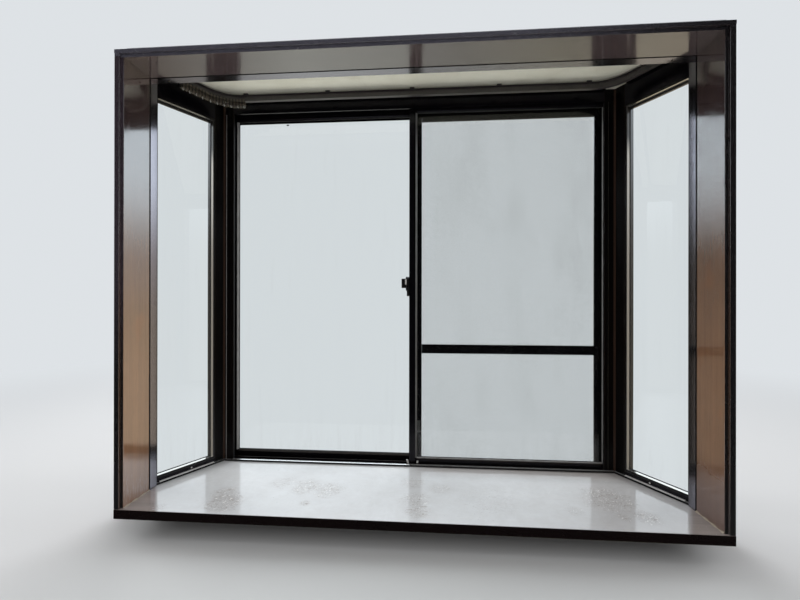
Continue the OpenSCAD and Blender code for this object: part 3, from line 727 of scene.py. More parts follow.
@dataclass(frozen=True)
class Painted(Finish):
    """A plain painted, moulded or bare surface with its own mottling and relief."""

    tone: Colour
    second: Colour
    rough: float
    scale: float
    relief: float
    ior: float = 1.5
    metal: float = 0.0
    grime: Colour | None = None

    def shade(self, sheet: Sheet) -> Socket:
        """Draws the mottling, and grime where the paint has any.

        Args:
            sheet: The sheet that takes the nodes.

        Returns:
            The shader.
        """
        point = sheet.place()
        fine = sheet.noise(point, self.scale * 6, 3.0, 0.65)
        broad = sheet.noise(point, self.scale * 0.25, 5.0, 0.62, 0.5)
        mask = (broad.step(0.3, 0.75) * 0.7 + fine * 0.4).low(1.0)
        colour = sheet.blend(mask, self.tone, self.second)
        if self.grime is not None:
            patch = sheet.noise(point, 3.5, 6.0, 0.68, 0.6).step(0.50, 0.72)
            colour = sheet.blend(patch * 0.5, colour, self.grime)
        return sheet.surface(
            Base_Color=colour,
            Roughness=(self.rough + (fine - 0.5) * 0.16 + broad * 0.08).low(1.0),
            Normal=sheet.bump(fine * 0.6 + broad * 0.4, self.relief, 0.6),
            IOR=self.ior,
            Metallic=self.metal,
        )


@dataclass(frozen=True)
class BareTimber(Finish):
    """Sawn softwood and plywood that stays out of sight in use."""

    run: Run
    wood: tuple[tuple[float, Colour], ...] = (
        (0.15, (0.33, 0.20, 0.10)), (0.5, (0.50, 0.34, 0.18)), (0.85, (0.60, 0.44, 0.26)),
    )
    stain: Colour = (0.23, 0.16, 0.10)

    def shade(self, sheet: Sheet) -> Socket:
        """Draws the rings, the fibre and the stains.

        Args:
            sheet: The sheet that takes the nodes.

        Returns:
            The shader.
        """
        bands = (sheet.grain(self.run, 0.8, 34.0, 3.0, 0.5, 0.8) * 60.0).wave() * 0.5 + 0.5
        fibre = sheet.grain(self.run, 9.0, 700.0, 3.0, 0.7)
        stain = sheet.noise(sheet.place(), 5.0, 5.0, 0.65, 0.6).step(0.5, 0.8)
        tone = sheet.ramp(bands * 0.55 + fibre * 0.45, self.wood)
        return sheet.surface(
            Base_Color=sheet.blend(stain * 0.5, tone, self.stain),
            Roughness=0.72 + fibre * 0.15,
            Normal=sheet.bump(fibre + bands * 0.3, 0.0002, 0.6),
        )


class Paint(Enum):
    """The plain finishes: name, two tones, roughness, scale, relief, index and metal."""

    CEILING = Painted("ceiling_paint", (0.76, 0.73, 0.625), (0.68, 0.645, 0.535), 0.62, 26.0,
                      0.00012, grime=(0.45, 0.40, 0.30))
    RAIL = Painted("rail_enamel", (0.018, 0.013, 0.015), (0.036, 0.027, 0.028), 0.27, 90.0,
                   0.00002, 1.7)
    RUNNER = Painted("runner_nylon", (0.062, 0.046, 0.031), (0.11, 0.084, 0.058), 0.34, 160.0,
                     0.00004, 1.6)
    # A darker copy of the runner nylon: painted shade on every second runner.
    SHADED_RUNNER = Painted("runner_nylon_shaded", (0.014, 0.011, 0.009), (0.032, 0.025, 0.019), 0.4,
                          160.0, 0.00004)
    SHEET = Painted("sheet_steel_brown", (0.040, 0.030, 0.026), (0.058, 0.045, 0.039), 0.42, 40.0,
                    0.00006, grime=(0.115, 0.10, 0.085))
    LOCK = Painted("lock_casting", (0.005, 0.0045, 0.006), (0.018, 0.014, 0.013), 0.3, 190.0,
                   0.00003, 1.45)
    RUBBER = Painted("glazing_rubber", (0.011, 0.011, 0.0115), (0.022, 0.022, 0.022), 0.5, 220.0,
                     0.00004)
    BLACK = Painted("black_pile", (0.0026, 0.0025, 0.0028), (0.0065, 0.006, 0.0065), 0.7, 300.0,
                    0.0001, 1.3)
    STEEL = Painted("screw_steel", (0.30, 0.28, 0.25), (0.15, 0.12, 0.10), 0.34, 500.0, 0.00001,
                    metal=1.0)
    NICKEL = Painted("worn_nickel", (0.62, 0.59, 0.54), (0.42, 0.38, 0.33), 0.22, 420.0, 0.00001,
                     metal=1.0)
    CAULK = Painted("aged_caulk", (0.46, 0.40, 0.33), (0.34, 0.275, 0.205), 0.55, 210.0, 0.00015,
                    grime=(0.22, 0.165, 0.115))
    WHITE = Painted("white_stop", (0.66, 0.655, 0.64), (0.52, 0.50, 0.47), 0.4, 170.0, 0.00004)
    GREY = Painted("grey_pull", (0.105, 0.10, 0.098), (0.065, 0.06, 0.058), 0.45, 170.0, 0.00004)
    GASKET = Painted("aged_gasket", (0.33, 0.32, 0.315), (0.20, 0.19, 0.185), 0.42, 150.0,
                     0.00005, 1.6)
    # A darker copy of the gasket: painted shade.
    SHADED_GASKET = Painted("shaded_gasket", (0.13, 0.127, 0.125), (0.085, 0.082, 0.08), 0.45, 150.0,
                         0.00005, 1.45)
    OLIVE = Painted("olive_gasket", (0.020, 0.020, 0.011), (0.010, 0.0095, 0.006), 0.4, 150.0,
                    0.00005)
    # Pale ledge strip: a painted reflection of the sky.
    STRIP = Painted("ledge_sky_reflection", (0.80, 0.78, 0.78), (0.62, 0.59, 0.58), 0.3, 90.0, 0.00003,
                    1.8)


@dataclass(frozen=True)
class BayPlan:
    """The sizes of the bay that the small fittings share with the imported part."""

    half_w: float = 0.825
    counter_z: float = 0.0625
    opening_h: float = 1.309
    front_y: float = -0.137
    ring_in: float = 0.019
    ring_out: float = 0.0104
    side_run: float = 0.235
    angle: float = math.radians(60)
    face_set: float = 0.009
    track_pitch: float = 0.029
    inner_track: float = 0.030
    glass_t: float = 0.005
    sash_t: float = 0.022
    sash_low: float = 0.026
    sash_high: float = 1.297
    jamb_x: float = 0.6777
    rail_inset: float = 0.048
    rail_bend: float = 0.120
    rail_low: float = 1.322
    rail_h: float = 0.023

    @property
    def corner_y(self) -> float:
        """Y of the corner line of the centre window."""
        return self.ring_out + self.side_run * math.sin(self.angle)

    @property
    def corner_x(self) -> float:
        """Half the width of the centre window at its corner line."""
        return self.half_w - self.side_run * math.cos(self.angle)

    @property
    def head_z(self) -> float:
        """Height of the casing head."""
        return self.counter_z + self.opening_h

    @property
    def inner_y(self) -> float:
        """Middle of the inner sash."""
        return self.corner_y + self.inner_track

    @property
    def outer_y(self) -> float:
        """Middle of the outer sash."""
        return self.inner_y + self.track_pitch

    @property
    def rail_start(self) -> float:
        """Where the curtain rail starts along the side light, just clear of the ring."""
        return (0.015 + self.rail_inset * math.cos(self.angle)) / math.sin(self.angle)

    def side(self, along: float, out: float, z: float, right: bool = False) -> Vector:
        """A point on a side light.

        Args:
            along: Distance from the wall ring along the light.
            out: Distance outward from its inner plane.
            z: Height.
            right: Whether it lies on the right side light.

        Returns:
            The point.
        """
        cos, sin = math.cos(self.angle), math.sin(self.angle)
        x = -self.half_w + along * cos - out * sin
        return Vector((-x if right else x, self.ring_out + along * sin + out * cos, z))


def put(name: str, data: bpy.types.ID) -> Object:
    """Makes an object and links it to the scene.

    Args:
        name: Its name.
        data: Its mesh, lamp or camera.

    Returns:
        The object.
    """
    made = bpy.data.objects.new(name, data)
    bpy.context.scene.collection.objects.link(made)
    return made


def facing_turn(normal: Vector) -> Matrix:
    """A turn that takes the local Z axis to a direction."""
    return normal.to_track_quat("Z", "Y").to_matrix().to_4x4()


def round_edges(obj: Object, width: float, angle: float) -> None:
    """Bevels an object's sharp edges, so that they catch the light.

    Args:
        obj: The object.
        width: Bevel width.
        angle: Edges sharper than this, in degrees, are bevelled.
    """
    bevel = obj.modifiers.new("edges", "BEVEL")
    bevel.width = width
    bevel.segments = 2
    bevel.limit_method = "ANGLE"
    bevel.angle_limit = math.radians(angle)
    bevel.use_clamp_overlap = True
    bevel.miter_outer = "MITER_ARC"
    shade = obj.modifiers.new("shade", "WEIGHTED_NORMAL")
    shade.weight = 80
    shade.keep_sharp = False


class Piece:
    """Collects the geometry of one named piece and places it on the part.

    A screw's head holds the share of its radius and of its height for each ring. Its recess
    holds a scale and a share of the height, and arms reach further than the waist between them.
    """

    head: Outline = ((1.0, 0.0), (1.0, 0.3), (0.9, 0.68), (0.72, 0.9), (0.6, 1.0))
    recess: Outline = ((1.0, 1.0), (0.8, 0.45))
    arm: float = 0.5
    waist: float = 0.17
    head_count: int = 24

    def __init__(self, name: str) -> None:
        """Starts an empty piece."""
        self.name = name
        self.mesh = bmesh.new()

    def sweep(self, rows: list[list[Point]], closed: bool = False) -> None:
        """Joins rows of points into a solid strip.

        Args:
            rows: Sections along the strip, each a closed loop with the same number of points.
            closed: Whether the last section joins the first, as round a pane.
        """
        made = [[self.mesh.verts.new(p) for p in row] for row in rows]
        pairs = list(zip(made, made[1:]))
        if closed:
            pairs.append((made[-1], made[0]))
        for first, second in pairs:
            for i in range(len(first)):
                j = (i + 1) % len(first)
                self.mesh.faces.new((first[i], first[j], second[j], second[i]))
        if not closed:
            self.mesh.faces.new(list(reversed(made[0])))
            self.mesh.faces.new(made[-1])

    def draw(self, section: Outline, ends: Pair, spot: Callable[..., Point]) -> None:
        """Draws a section out along a run. Spot turns its numbers and a place into a point."""
        self.sweep([[spot(a, b, end) for a, b in section] for end in ends])

    def box(self, low: Colour, high: Colour) -> None:
        """Adds a box between two corners."""
        ring = ((low[1], low[2]), (high[1], low[2]), (high[1], high[2]), (low[1], high[2]))
        self.draw(ring, (low[0], high[0]), lambda y, z, x: (x, y, z))

    def turned(self, rings: Outline, place: Matrix, count: int) -> None:
        """Adds a turned form about the local Z axis.

        Args:
            rings: Radius and height of each ring, from the base up.
            place: Where the form's origin and axes lie.
            count: Points round a ring.
        """
        self.sweep([
            [self._around(place, radius, height, k, count) for k in range(count)]
            for radius, height in rings
        ])

    def screw(self, place: Matrix, radius: float, height: float) -> None:
        """Adds a pan head with a cross recess.

        Args:
            place: Where its seat and axes lie.
            radius: Radius of the head.
            height: Height of the head.
        """
        count = self.head_count
        rows = [
            [self._around(place, radius * share, height * level, k, count) for k in range(count)]
            for share, level in self.head
        ]
        reach = [self.arm if k % 6 in (0, 5) else self.waist for k in range(count)]
        for scale, level in self.recess:
            rows.append([
                self._around(place, radius * reach[k] * scale, height * level, k + 0.5, count)
                for k in range(count)
            ])
        self.sweep(rows)

    @staticmethod
    def _around(place: Matrix, radius: float, height: float, k: float, count: int) -> Vector:
        """A point on a ring of so many points about the local Z axis."""
        a = 2 * math.pi * k / count
        return place @ Vector((radius * math.cos(a), radius * math.sin(a), height))

    def done(
        self, material: Material, slot: Slot, bevel: float = 0.0, smooth_angle: float = 40.0
    ) -> None:
        """Makes the object, dresses it and rides it on the part.

        Args:
            material: Its finish.
            slot: Not used.
            bevel: Width of the bevel on its edges.
            smooth_angle: Edges flatter than this, in degrees, are shaded smooth.
        """
        bmesh.ops.recalc_face_normals(self.mesh, faces=self.mesh.faces)
        for face in self.mesh.faces:
            face.smooth = True
        for edge in self.mesh.edges:
            if len(edge.link_faces) == 2:
                edge.smooth = edge.calc_face_angle(0.0) < math.radians(smooth_angle)
        data = bpy.data.meshes.new(self.name)
        self.mesh.to_mesh(data)
        self.mesh.free()
        made = put(self.name, data)
        data.materials.append(material)
        if bevel > 0:
            round_edges(made, bevel, 30.0)
        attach(made, "root")
        LOG.info("piece %s: %d faces", self.name, len(data.polygons))


class Wardrobe:
    """Makes each finish once and hands it out."""

    def __init__(self, plan: BayPlan) -> None:
        """Builds every finish of the bay window.

        Args:
            plan: The bay's sizes.
        """
        self.paint = {paint: paint.value.make() for paint in Paint}
        self.bronze = {
            run: BronzeAluminium(f"bronze_{run.name.lower()}", run).make() for run in Run
        }
        ring_tones = ((0.010, 0.009, 0.0095), (0.025, 0.022, 0.02))
        self.ring = {
            run: BronzeAluminium(f"ring_{run.name.lower()}", run, *ring_tones, 0.11, ior).make()
            for run, ior in ((Run.ACROSS, 4.4), (Run.UP, 3.5))
        }
        # Beads: painted highlight on the turned faces, painted reflection on the near ends.
        self.bead = {
            run: BronzeWithPaintedLight(
                f"bead_{run.name.lower()}", run, (lean, 0.5, 0.0), (0.8, 0.45),
                end_highlight=(0.50, 0.45, 0.39),
            ).make()
            for run, lean in ((Run.LEFT_SIDE, -SIN_60), (Run.RIGHT_SIDE, SIN_60))
        }
        # Posts: the brown on the arris faces is a painted highlight.
        self.post = {
            side: BronzeWithPaintedLight(
                f"post_{side}", Run.UP, (lean, -SIN_60, 0.0), (0.93, 0.985),
                (0.0026, 0.0021, 0.0021), (0.036, 0.020, 0.014), 0.0, 1.2,
            ).make()
            for side, lean in (("left", 0.5), ("right", -0.5))
        }
        # Trim: the pale top is a painted reflection, with painted shade on the right.
        self.trim = BronzeWithPaintedLight(
            "trim_bronze", Run.ACROSS, Z, (0.5, 0.9), bright=(0.72, 0.71, 0.70), shaded_right=0.6
        ).make()
        # Jambs: front edge lighter on the left as painted light, near black on the right as painted
        # shade.
        self.jamb = WoodFoil(
            "casing_upright_grain", Run.UP, (0.045, 0.031, 0.043), (0.0075, 0.0060, 0.0066)
        ).make()
        # Head: the bluish front edge is a painted reflection, darker to the right as painted shade.
        self.head = WoodFoil(
            "casing_level_grain", Run.ACROSS, (0.094, 0.090, 0.118), (0.012, 0.0095, 0.012),
            turn=(0.25, 0.85), dark=(0.066, 0.049, 0.053), body=(0.085, 0.061, 0.062),
            pale=(0.11, 0.078, 0.072), fade=(0.2, 0.1), ior=2.75,
        ).make()
        self.counter = CounterTop(
            "counter_polished", plan.front_y, plan.counter_z, plan.corner_y
        ).make()
        self.glass = WindowGlass("float_glass", plan.counter_z + 0.03).make()
        self.net = InsectNet("insect_net").make()
        self.timber = BareTimber("softwood", Run.ACROSS).make()


@dataclass
class Frame:
    """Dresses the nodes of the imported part.

    The first word of bevels that a node's name holds gives its bevel width.
    """

    nodes: dict[str, Object]
    wardrobe: Wardrobe
    bevels: tuple[tuple[str, float], ...] = (
        ("glass", 0.0004), ("mesh", 0.0), ("core", 0.0), ("board", 0.0011),
        ("curtain_rail", 0.0003), ("runners", 0.0), ("crescent", 0.0011), ("beads", 0.0005),
        ("trim", 0.0007), ("clips", 0.0008), ("roof", 0.0006), ("base", 0.0005), ("", 0.0007),
    )
    hollow: tuple[str, ...] = ("curtain_rail", "base_cover")
    weld_gap: float = 0.00002
    flat_angle: float = 1.0
    sharp_angle: float = 28.0

    def finish_of(self, name: str) -> Material:
        """Chooses the finish of a node.

        Args:
            name: The node's name.

        Returns:
            Its finish.
        """
        w = self.wardrobe
        side = Run.RIGHT_SIDE if name.endswith("_right") else Run.LEFT_SIDE
        metal = w.ring if name.startswith("wall_") else w.bronze
        upright = any(word in name for word in ("jamb", "post", "stile"))
        table = (
            ("counter_board", w.counter), ("head_board", w.head), ("jamb_board", w.jamb),
            ("ceiling_board", w.paint[Paint.CEILING]), ("curtain_rail", w.paint[Paint.RAIL]),
            ("rail_clips", w.paint[Paint.RAIL]), ("curtain_runners", w.paint[Paint.RUNNER]),
            ("roof_core", w.timber), ("base_panel", w.timber), ("screen_mesh", w.net),
            ("counter_trim", w.trim), ("roof_", w.paint[Paint.SHEET]),
            ("base_cover", w.paint[Paint.SHEET]), ("crescent", w.paint[Paint.LOCK]),
            ("glass", w.glass), ("post_left", w.post["left"]), ("post_right", w.post["right"]),
            ("side_beads", w.bead[side]), ("side_", w.bronze[side]),
            ("", metal[Run.UP if upright else Run.ACROSS]),
        )
        return next(finish for word, finish in table if word in name)

    def dress(self) -> None:
        """Gives each node its finish and rounded edges."""
        for name, obj in self.nodes.items():
            obj.data.materials.clear()
            obj.data.materials.append(self.finish_of(name))
            width = next(bevel for word, bevel in self.bevels if word in name)
            if width > 0:
                self._clean(obj, name not in self.hollow)
                round_edges(obj, width, self.sharp_angle)
            LOG.info("node %s: %s", name, obj.data.materials[0].name)

    def _clean(self, obj: Object, merge: bool) -> None:
        """Welds a node's faces and merges its flat triangles, so that bevels run cleanly.

        Args:
            obj: The node's object.
            merge: Whether flat triangles are merged into one face.
        """
        weld = obj.modifiers.new("weld", "WELD")
        weld.merge_threshold = self.weld_gap
        if merge:
            flat = obj.modifiers.new("flat", "DECIMATE")
            flat.decimate_type = "DISSOLVE"
            flat.angle_limit = math.radians(self.flat_angle)


@dataclass
class Assembly:
    """A sub-assembly of added pieces, with the bay's sizes and finishes at hand."""

    plan: BayPlan
    wardrobe: Wardrobe

    def paint(self, piece: Piece, paint: Paint, slot: Slot, *edges: float) -> None:
        """Ends a piece in a paint. Edges are its bevel width and smooth angle."""
        piece.done(self.wardrobe.paint[paint], slot, *edges)


@dataclass
class Glazing(Assembly):
    """The gaskets and pale linings that hold the panes.

    Lips say how far a gasket reaches over the glass at its low, high, lower and upper edge, and
    proud how far it stands off the glass. Linings are sections from the edge and off the glass.
    """

    lip: float = 0.0018
    tuck: float = 0.0008
    room_lips: Lips = (0.0012, 0.0010, 0.0010, 0.0042)
    outer_lips: Lips = (0.0030, 0.0012, 0.0012, 0.0042)
    proud: float = 0.0022
    room_proud: float = 0.0010
    meeting: float = 0.0015
    meeting_half: float = 0.014
    side_glass: float = 0.025
    side_across: Pair = (0.0067, 0.1966)
    side_up: Pair = (0.0275, 1.269)
    lining: Outline = (
        (-0.0001, 0.0), (0.0009, 0.0004), (0.0009, 0.0024), (0.0004, 0.0031),
        (-0.0044, 0.0089), (-0.0051, 0.0086), (-0.0001, 0.0026),
    )
    foot: Outline = (
        (-0.0001, 0.0), (0.0008, 0.0004), (0.0008, 0.0022), (0.0002, 0.0030),
        (-0.0016, 0.0052), (-0.0022, 0.0049), (-0.0001, 0.0026),
    )

    def _loop(self, piece: Piece, spot: Callable[..., Point], across: Pair, up: Pair,
              face: float, out: int, lips: Lips, proud: float) -> None:
        """Adds one gasket round a pane on one of its faces.

        Args:
            piece: The piece that it joins.
            spot: Turns across, outward and up into a point.
            across: Low and high edge of the sight opening.
            up: Its lower and upper edge.
            face: Where the face of the glass lies outward.
            out: 1 or -1, the way the gasket stands off the glass.
            lips: How far it reaches over the glass.
            proud: How far it stands off the glass.
        """
        section = ((None, 0.0), (1.0, 0.0), (0.8, proud * 0.55), (0.2, proud), (None, proud))
        rows = []
        for i, j, sx, sz in ((0, 0, 1, 1), (1, 0, -1, 1), (1, 1, -1, -1), (0, 1, 1, -1)):
            row = []
            for share, off in section:
                a, b = [
                    -self.tuck if share is None else share * lip for lip in (lips[i], lips[2 + j])
                ]
                row.append(spot(across[i] + sx * a, face + out * off, up[j] + sz * b))
            rows.append(row)
        piece.sweep(rows, closed=True)

    def build(self) -> None:
        """Makes the gaskets and linings of both sashes and both side lights."""
        plan = self.plan
        up = (plan.counter_z + plan.sash_low, plan.counter_z + plan.sash_high)
        left = (-plan.jamb_x, self.meeting - self.meeting_half)
        right = (self.meeting + self.meeting_half, plan.jamb_x)
        self._sash("left_sash", left, up, plan.outer_y, 0)
        self._sash("right_sash", right, up, plan.inner_y, 1)
        up = (plan.counter_z + self.side_up[0], plan.counter_z + self.side_up[1])
        faces = (
            (self.side_glass, -1, self.room_lips, self.room_proud),
            (self.side_glass + plan.glass_t, 1, self.outer_lips, self.proud),
        )
        for name, is_right in (("left", False), ("right", True)):
            piece = Piece(f"side_gasket_{name}")
            for face in faces:
                self._loop(piece, lambda u, w, z: plan.side(u, w, z, is_right),
                           self.side_across, up, *face)
            self.paint(piece, Paint.RUBBER, Slot.BRONZE)

    def _sash(self, name: str, across: Pair, up: Pair, y: float, jamb: int) -> None:
        """Makes the gasket and the linings of one sash, and the strip at the inner one's foot.

        Args:
            name: The sash's name.
            across: Left and right edge of its sight opening.
            up: Lower and upper edge of the opening.
            y: The middle of the sash.
            jamb: The edge that lies at the jamb, 0 for the left and 1 for the right one.
        """
        half = self.plan.glass_t / 2
        # The lining at the meeting stile takes the darker copy: painted shade.
        edges = (("jamb", jamb, Paint.GASKET), ("meeting", 1 - jamb, Paint.SHADED_GASKET))
        piece = Piece(f"{name}_gasket")
        for out in (-1, 1):
            self._loop(piece, lambda x, n, z: (x, y + n, z), across, up, out * half, out,
                       (self.lip,) * 4, self.proud)
        self.paint(piece, Paint.RUBBER, Slot.BRONZE)
        for end, edge, paint in edges:
            x, side = across[edge], 1 - 2 * edge
            piece = Piece(f"{name}_lining_{end}")
            piece.draw(self.lining, (up[0], up[1] - self.lip),
                       lambda a, b, z: (x + side * a, y - half - b, z))
            if end == "jamb" and y == self.plan.inner_y:
                piece.draw(self.foot, across, lambda a, b, along: (along, y - half - b, up[0] + a))
            self.paint(piece, paint, Slot.BRONZE)


@dataclass
class Seals(Assembly):
    """Dark strips in the gaps of the frame and beads in its grooves, the left one pale as painted
    light.

    Sections are given from the frame's face, the ledge's from the inner plane of the side light
    and from its top, and the screen's in plan.
    """

    casing_back: float = -0.0245
    shrink: float = 0.0015
    depth: float = 0.006
    strip_up: Pair = (0.0045, 1.3055)
    pile_w: float = 0.0017
    pile_y: Lips = (0.0002, 0.0004, 0.0092, 0.0094)
    pile_fuzz: Outline = ((0.0002, 2.4), (0.00015, 5.1))
    pile_steps: int = 60
    bead_x: Pair = (-0.7040, 0.6905)
    bead_size: Pair = (0.0010, 0.0008)
    bead_seat: float = 0.0001
    ledge_run: Pair = (0.012, 0.1985)
    ledge_top: float = 0.007
    ledge: Outline = (
        (0.0010, -0.0004), (0.0088, -0.0004), (0.0088, 0.0014), (0.0080, 0.0017),
        (0.0016, 0.0008), (0.0010, 0.0004),
    )
    screen: Outline = (
        (0.6868, 0.2932), (0.6990, 0.2932), (0.7088, 0.2905), (0.7088, 0.2990),
        (0.7065, 0.2990), (0.7065, 0.2925), (0.6995, 0.2946), (0.6868, 0.2946),
    )

    def build(self) -> None:
        """Makes the reveal seal, the pile strips, the beads, the ledges and the screen's seal."""
        plan = self.plan
        face = plan.corner_y + plan.face_set
        ends = (plan.counter_z + self.strip_up[0], plan.counter_z + self.strip_up[1])
        self._reveal()
        self._pile(face, *ends)
        arc = [(math.cos(math.pi * i / 6), math.sin(math.pi * i / 6)) for i in range(7)]
        wide, deep = self.bead_size
        seat = face - self.bead_seat
        # One bead, pale grey on the left as painted light and dark olive on the right as painted
        # shade.
        names = ("groove_bead_left", "groove_bead_right")
        for name, x, tone in zip(names, self.bead_x, (Paint.GASKET, Paint.OLIVE)):
            piece = Piece(name)
            piece.draw(arc, ends, lambda a, b, z: (x - wide * a, seat - deep * b, z))
            self.paint(piece, tone, Slot.BRONZE)
        # The side ledges are pale: a painted reflection of the sky.
        top = plan.counter_z + self.ledge_top
        for name, right in (("side_ledge_left", False), ("side_ledge_right", True)):
            piece = Piece(name)
            piece.draw(self.ledge, self.ledge_run, lambda w, z, u: plan.side(u, w, top + z, right))
            self.paint(piece, Paint.STRIP, Slot.COUNTER)
        piece = Piece("screen_seal")
        piece.draw(self.screen, ends, lambda x, y, z: (x, y, z))
        self.paint(piece, Paint.BLACK, Slot.BRONZE)

    def _reveal(self) -> None:
        """Makes the seal between the casing and the wall ring, up one side and down the other."""
        plan = self.plan
        near, far = self.casing_back, -plan.ring_in
        out = plan.half_w + self.shrink
        foot, top = plan.counter_z, plan.head_z + self.shrink
        rows = []
        for side, low, high in ((-1, foot, foot), (-1, top, top + self.depth),
                                (1, top, top + self.depth), (1, foot, foot)):
            inner, outer = side * out, side * (out + self.depth)
            rows.append([(inner, near, low), (inner, far, low), (outer, far, high),
                         (outer, near, high)])
        piece = Piece("reveal_seal")
        piece.sweep(rows)
        self.paint(piece, Paint.BLACK, Slot.CASING)

    def _pile(self, face: float, low: float, high: float) -> None:
        """Makes the pile strips, with a slightly uneven edge.

        Args:
            face: Y of the frame's room face.
            low: Their foot.
            high: Their top.
        """
        piece = Piece("pile_strips")
        for side in (-1, 1):
            rows = []
            for k in range(self.pile_steps + 1):
                z = low + (high - low) * k / self.pile_steps
                fuzz = sum(size * math.sin(k * rate) for size, rate in self.pile_fuzz)
                root = side * self.plan.jamb_x
                edge = side * (self.plan.jamb_x - self.pile_w - fuzz)
                places = zip((root, edge, edge, root), self.pile_y)
                rows.append([(x, face + y, z) for x, y in places])
            piece.sweep(rows)
        self.paint(piece, Paint.BLACK, Slot.BRONZE)


@dataclass
class RailGear(Assembly):
    """Eyes of the gathered runners, and the caps on the rail's ends.

    An eye turns by so many degrees off the rail, give or take its swing, and bobs up and down.
    """

    pitch: float = 0.0055
    ring: float = 0.0042
    wire: float = 0.0008
    drop: float = 0.0165
    turn: float = 62.0
    swing: float = 9.0
    bob: float = 0.0006
    end_gap: float = 0.004
    ring_steps: int = 16
    wire_steps: int = 6
    cap_half: float = 0.0075
    cap_over: float = 0.0012
    cap_rows: Outline = ((-0.005, -0.0012), (-0.004, 0.0), (0.001, 0.0))

    def _stations(self) -> list[tuple[Vector, float]]:
        """Finds the runners, from the side light round the bend.

        Returns:
            The place and heading of each.
        """
        plan = self.plan
        half_turn = math.tan(plan.angle / 2)
        tangent = plan.rail_bend * half_turn
        end = plan.side_run - plan.rail_inset * half_turn - tangent
        count = int((end - plan.rail_start - self.end_gap) / self.pitch)
        found = [
            (plan.side(end - (i + 0.5) * self.pitch, -plan.rail_inset, 0.0), plan.angle)
            for i in range(count)
        ]
        bend_x = plan.corner_x - plan.rail_inset * half_turn - tangent
        centre = Vector((-bend_x, plan.corner_y - plan.rail_inset - plan.rail_bend, 0.0))
        count = int(plan.angle / (self.pitch / plan.rail_bend))
        for i in range(count):
            a = plan.angle - (i + 0.5) * plan.angle / count
            found.append((centre + plan.rail_bend * Vector((-math.sin(a), math.cos(a), 0.0)), a))
        found.append((centre + Vector((self.pitch / 2, plan.rail_bend, 0.0)), 0.0))
        return found

    def shade(self, runners: Object) -> None:
        """Gives every second runner a darker finish, painted shade, so that the row reads as lit
        ribs.

        Args:
            runners: The node of the runners.
        """
        runners.data.materials.append(self.wardrobe.paint[Paint.SHADED_RUNNER])
        stations = self._stations()
        for face in runners.data.polygons:
            gaps = [(face.center.xy - spot.xy).length for spot, _ in stations]
            face.material_index = gaps.index(min(gaps)) % 2

    def build(self) -> None:
        """Makes the eyes and the caps."""
        plan = self.plan
        self._eyes("runner_eyes", Paint.NICKEL, (0, 1, 3))
        # Every fourth eye is white: painted glints.
        self._eyes("runner_eyes_glint", Paint.WHITE, (2,))
        piece = Piece("rail_end_caps")
        low = plan.counter_z + plan.rail_low - self.cap_over
        high = plan.counter_z + plan.rail_low + plan.rail_h
        for right in (False, True):
            rows = []
            for shift, grow in self.cap_rows:
                wide = self.cap_half + grow
                section = ((-wide, low - grow), (wide, low - grow),
                           (wide, high + grow), (-wide, high + grow))
                rows.append([
                    plan.side(plan.rail_start + shift, w - plan.rail_inset, z, right)
                    for w, z in section
                ])
            piece.sweep(rows)
        self.paint(piece, Paint.RAIL, Slot.RAIL, 0.0006)

    def _eyes(self, name: str, paint: Paint, rests: tuple[int, ...]) -> None:
        """Makes the eyes of the runners whose number divided by 4 leaves one of some rests.

        Args:
            name: The piece's name.
            paint: Its finish.
            rests: The rests.
        """
        plan = self.plan
        piece = Piece(name)
        level = plan.counter_z + plan.rail_low - self.drop
        up = Vector(Z)
        angles = [2 * math.pi * j / self.wire_steps for j in range(self.wire_steps)]
        for k, (spot, heading) in enumerate(self._stations()):
            if k % 4 not in rests:
                continue
            turn = heading + math.radians(self.turn + self.swing * math.sin(k * 1.7))
            ahead = Vector((math.cos(turn), math.sin(turn), 0.0))
            across = ahead.cross(up)
            middle = Vector((spot.x, spot.y, level + self.bob * math.sin(k * 2.3)))
            rows = []
            for i in range(self.ring_steps):
                a = 2 * math.pi * i / self.ring_steps
                out = ahead * math.cos(a) + up * math.sin(a)
                rows.append([
                    middle + out * (self.ring + self.wire * math.cos(b))
                    + across * self.wire * math.sin(b) for b in angles
                ])
            piece.sweep(rows, closed=True)
        self.paint(piece, paint, Slot.RUNNER)


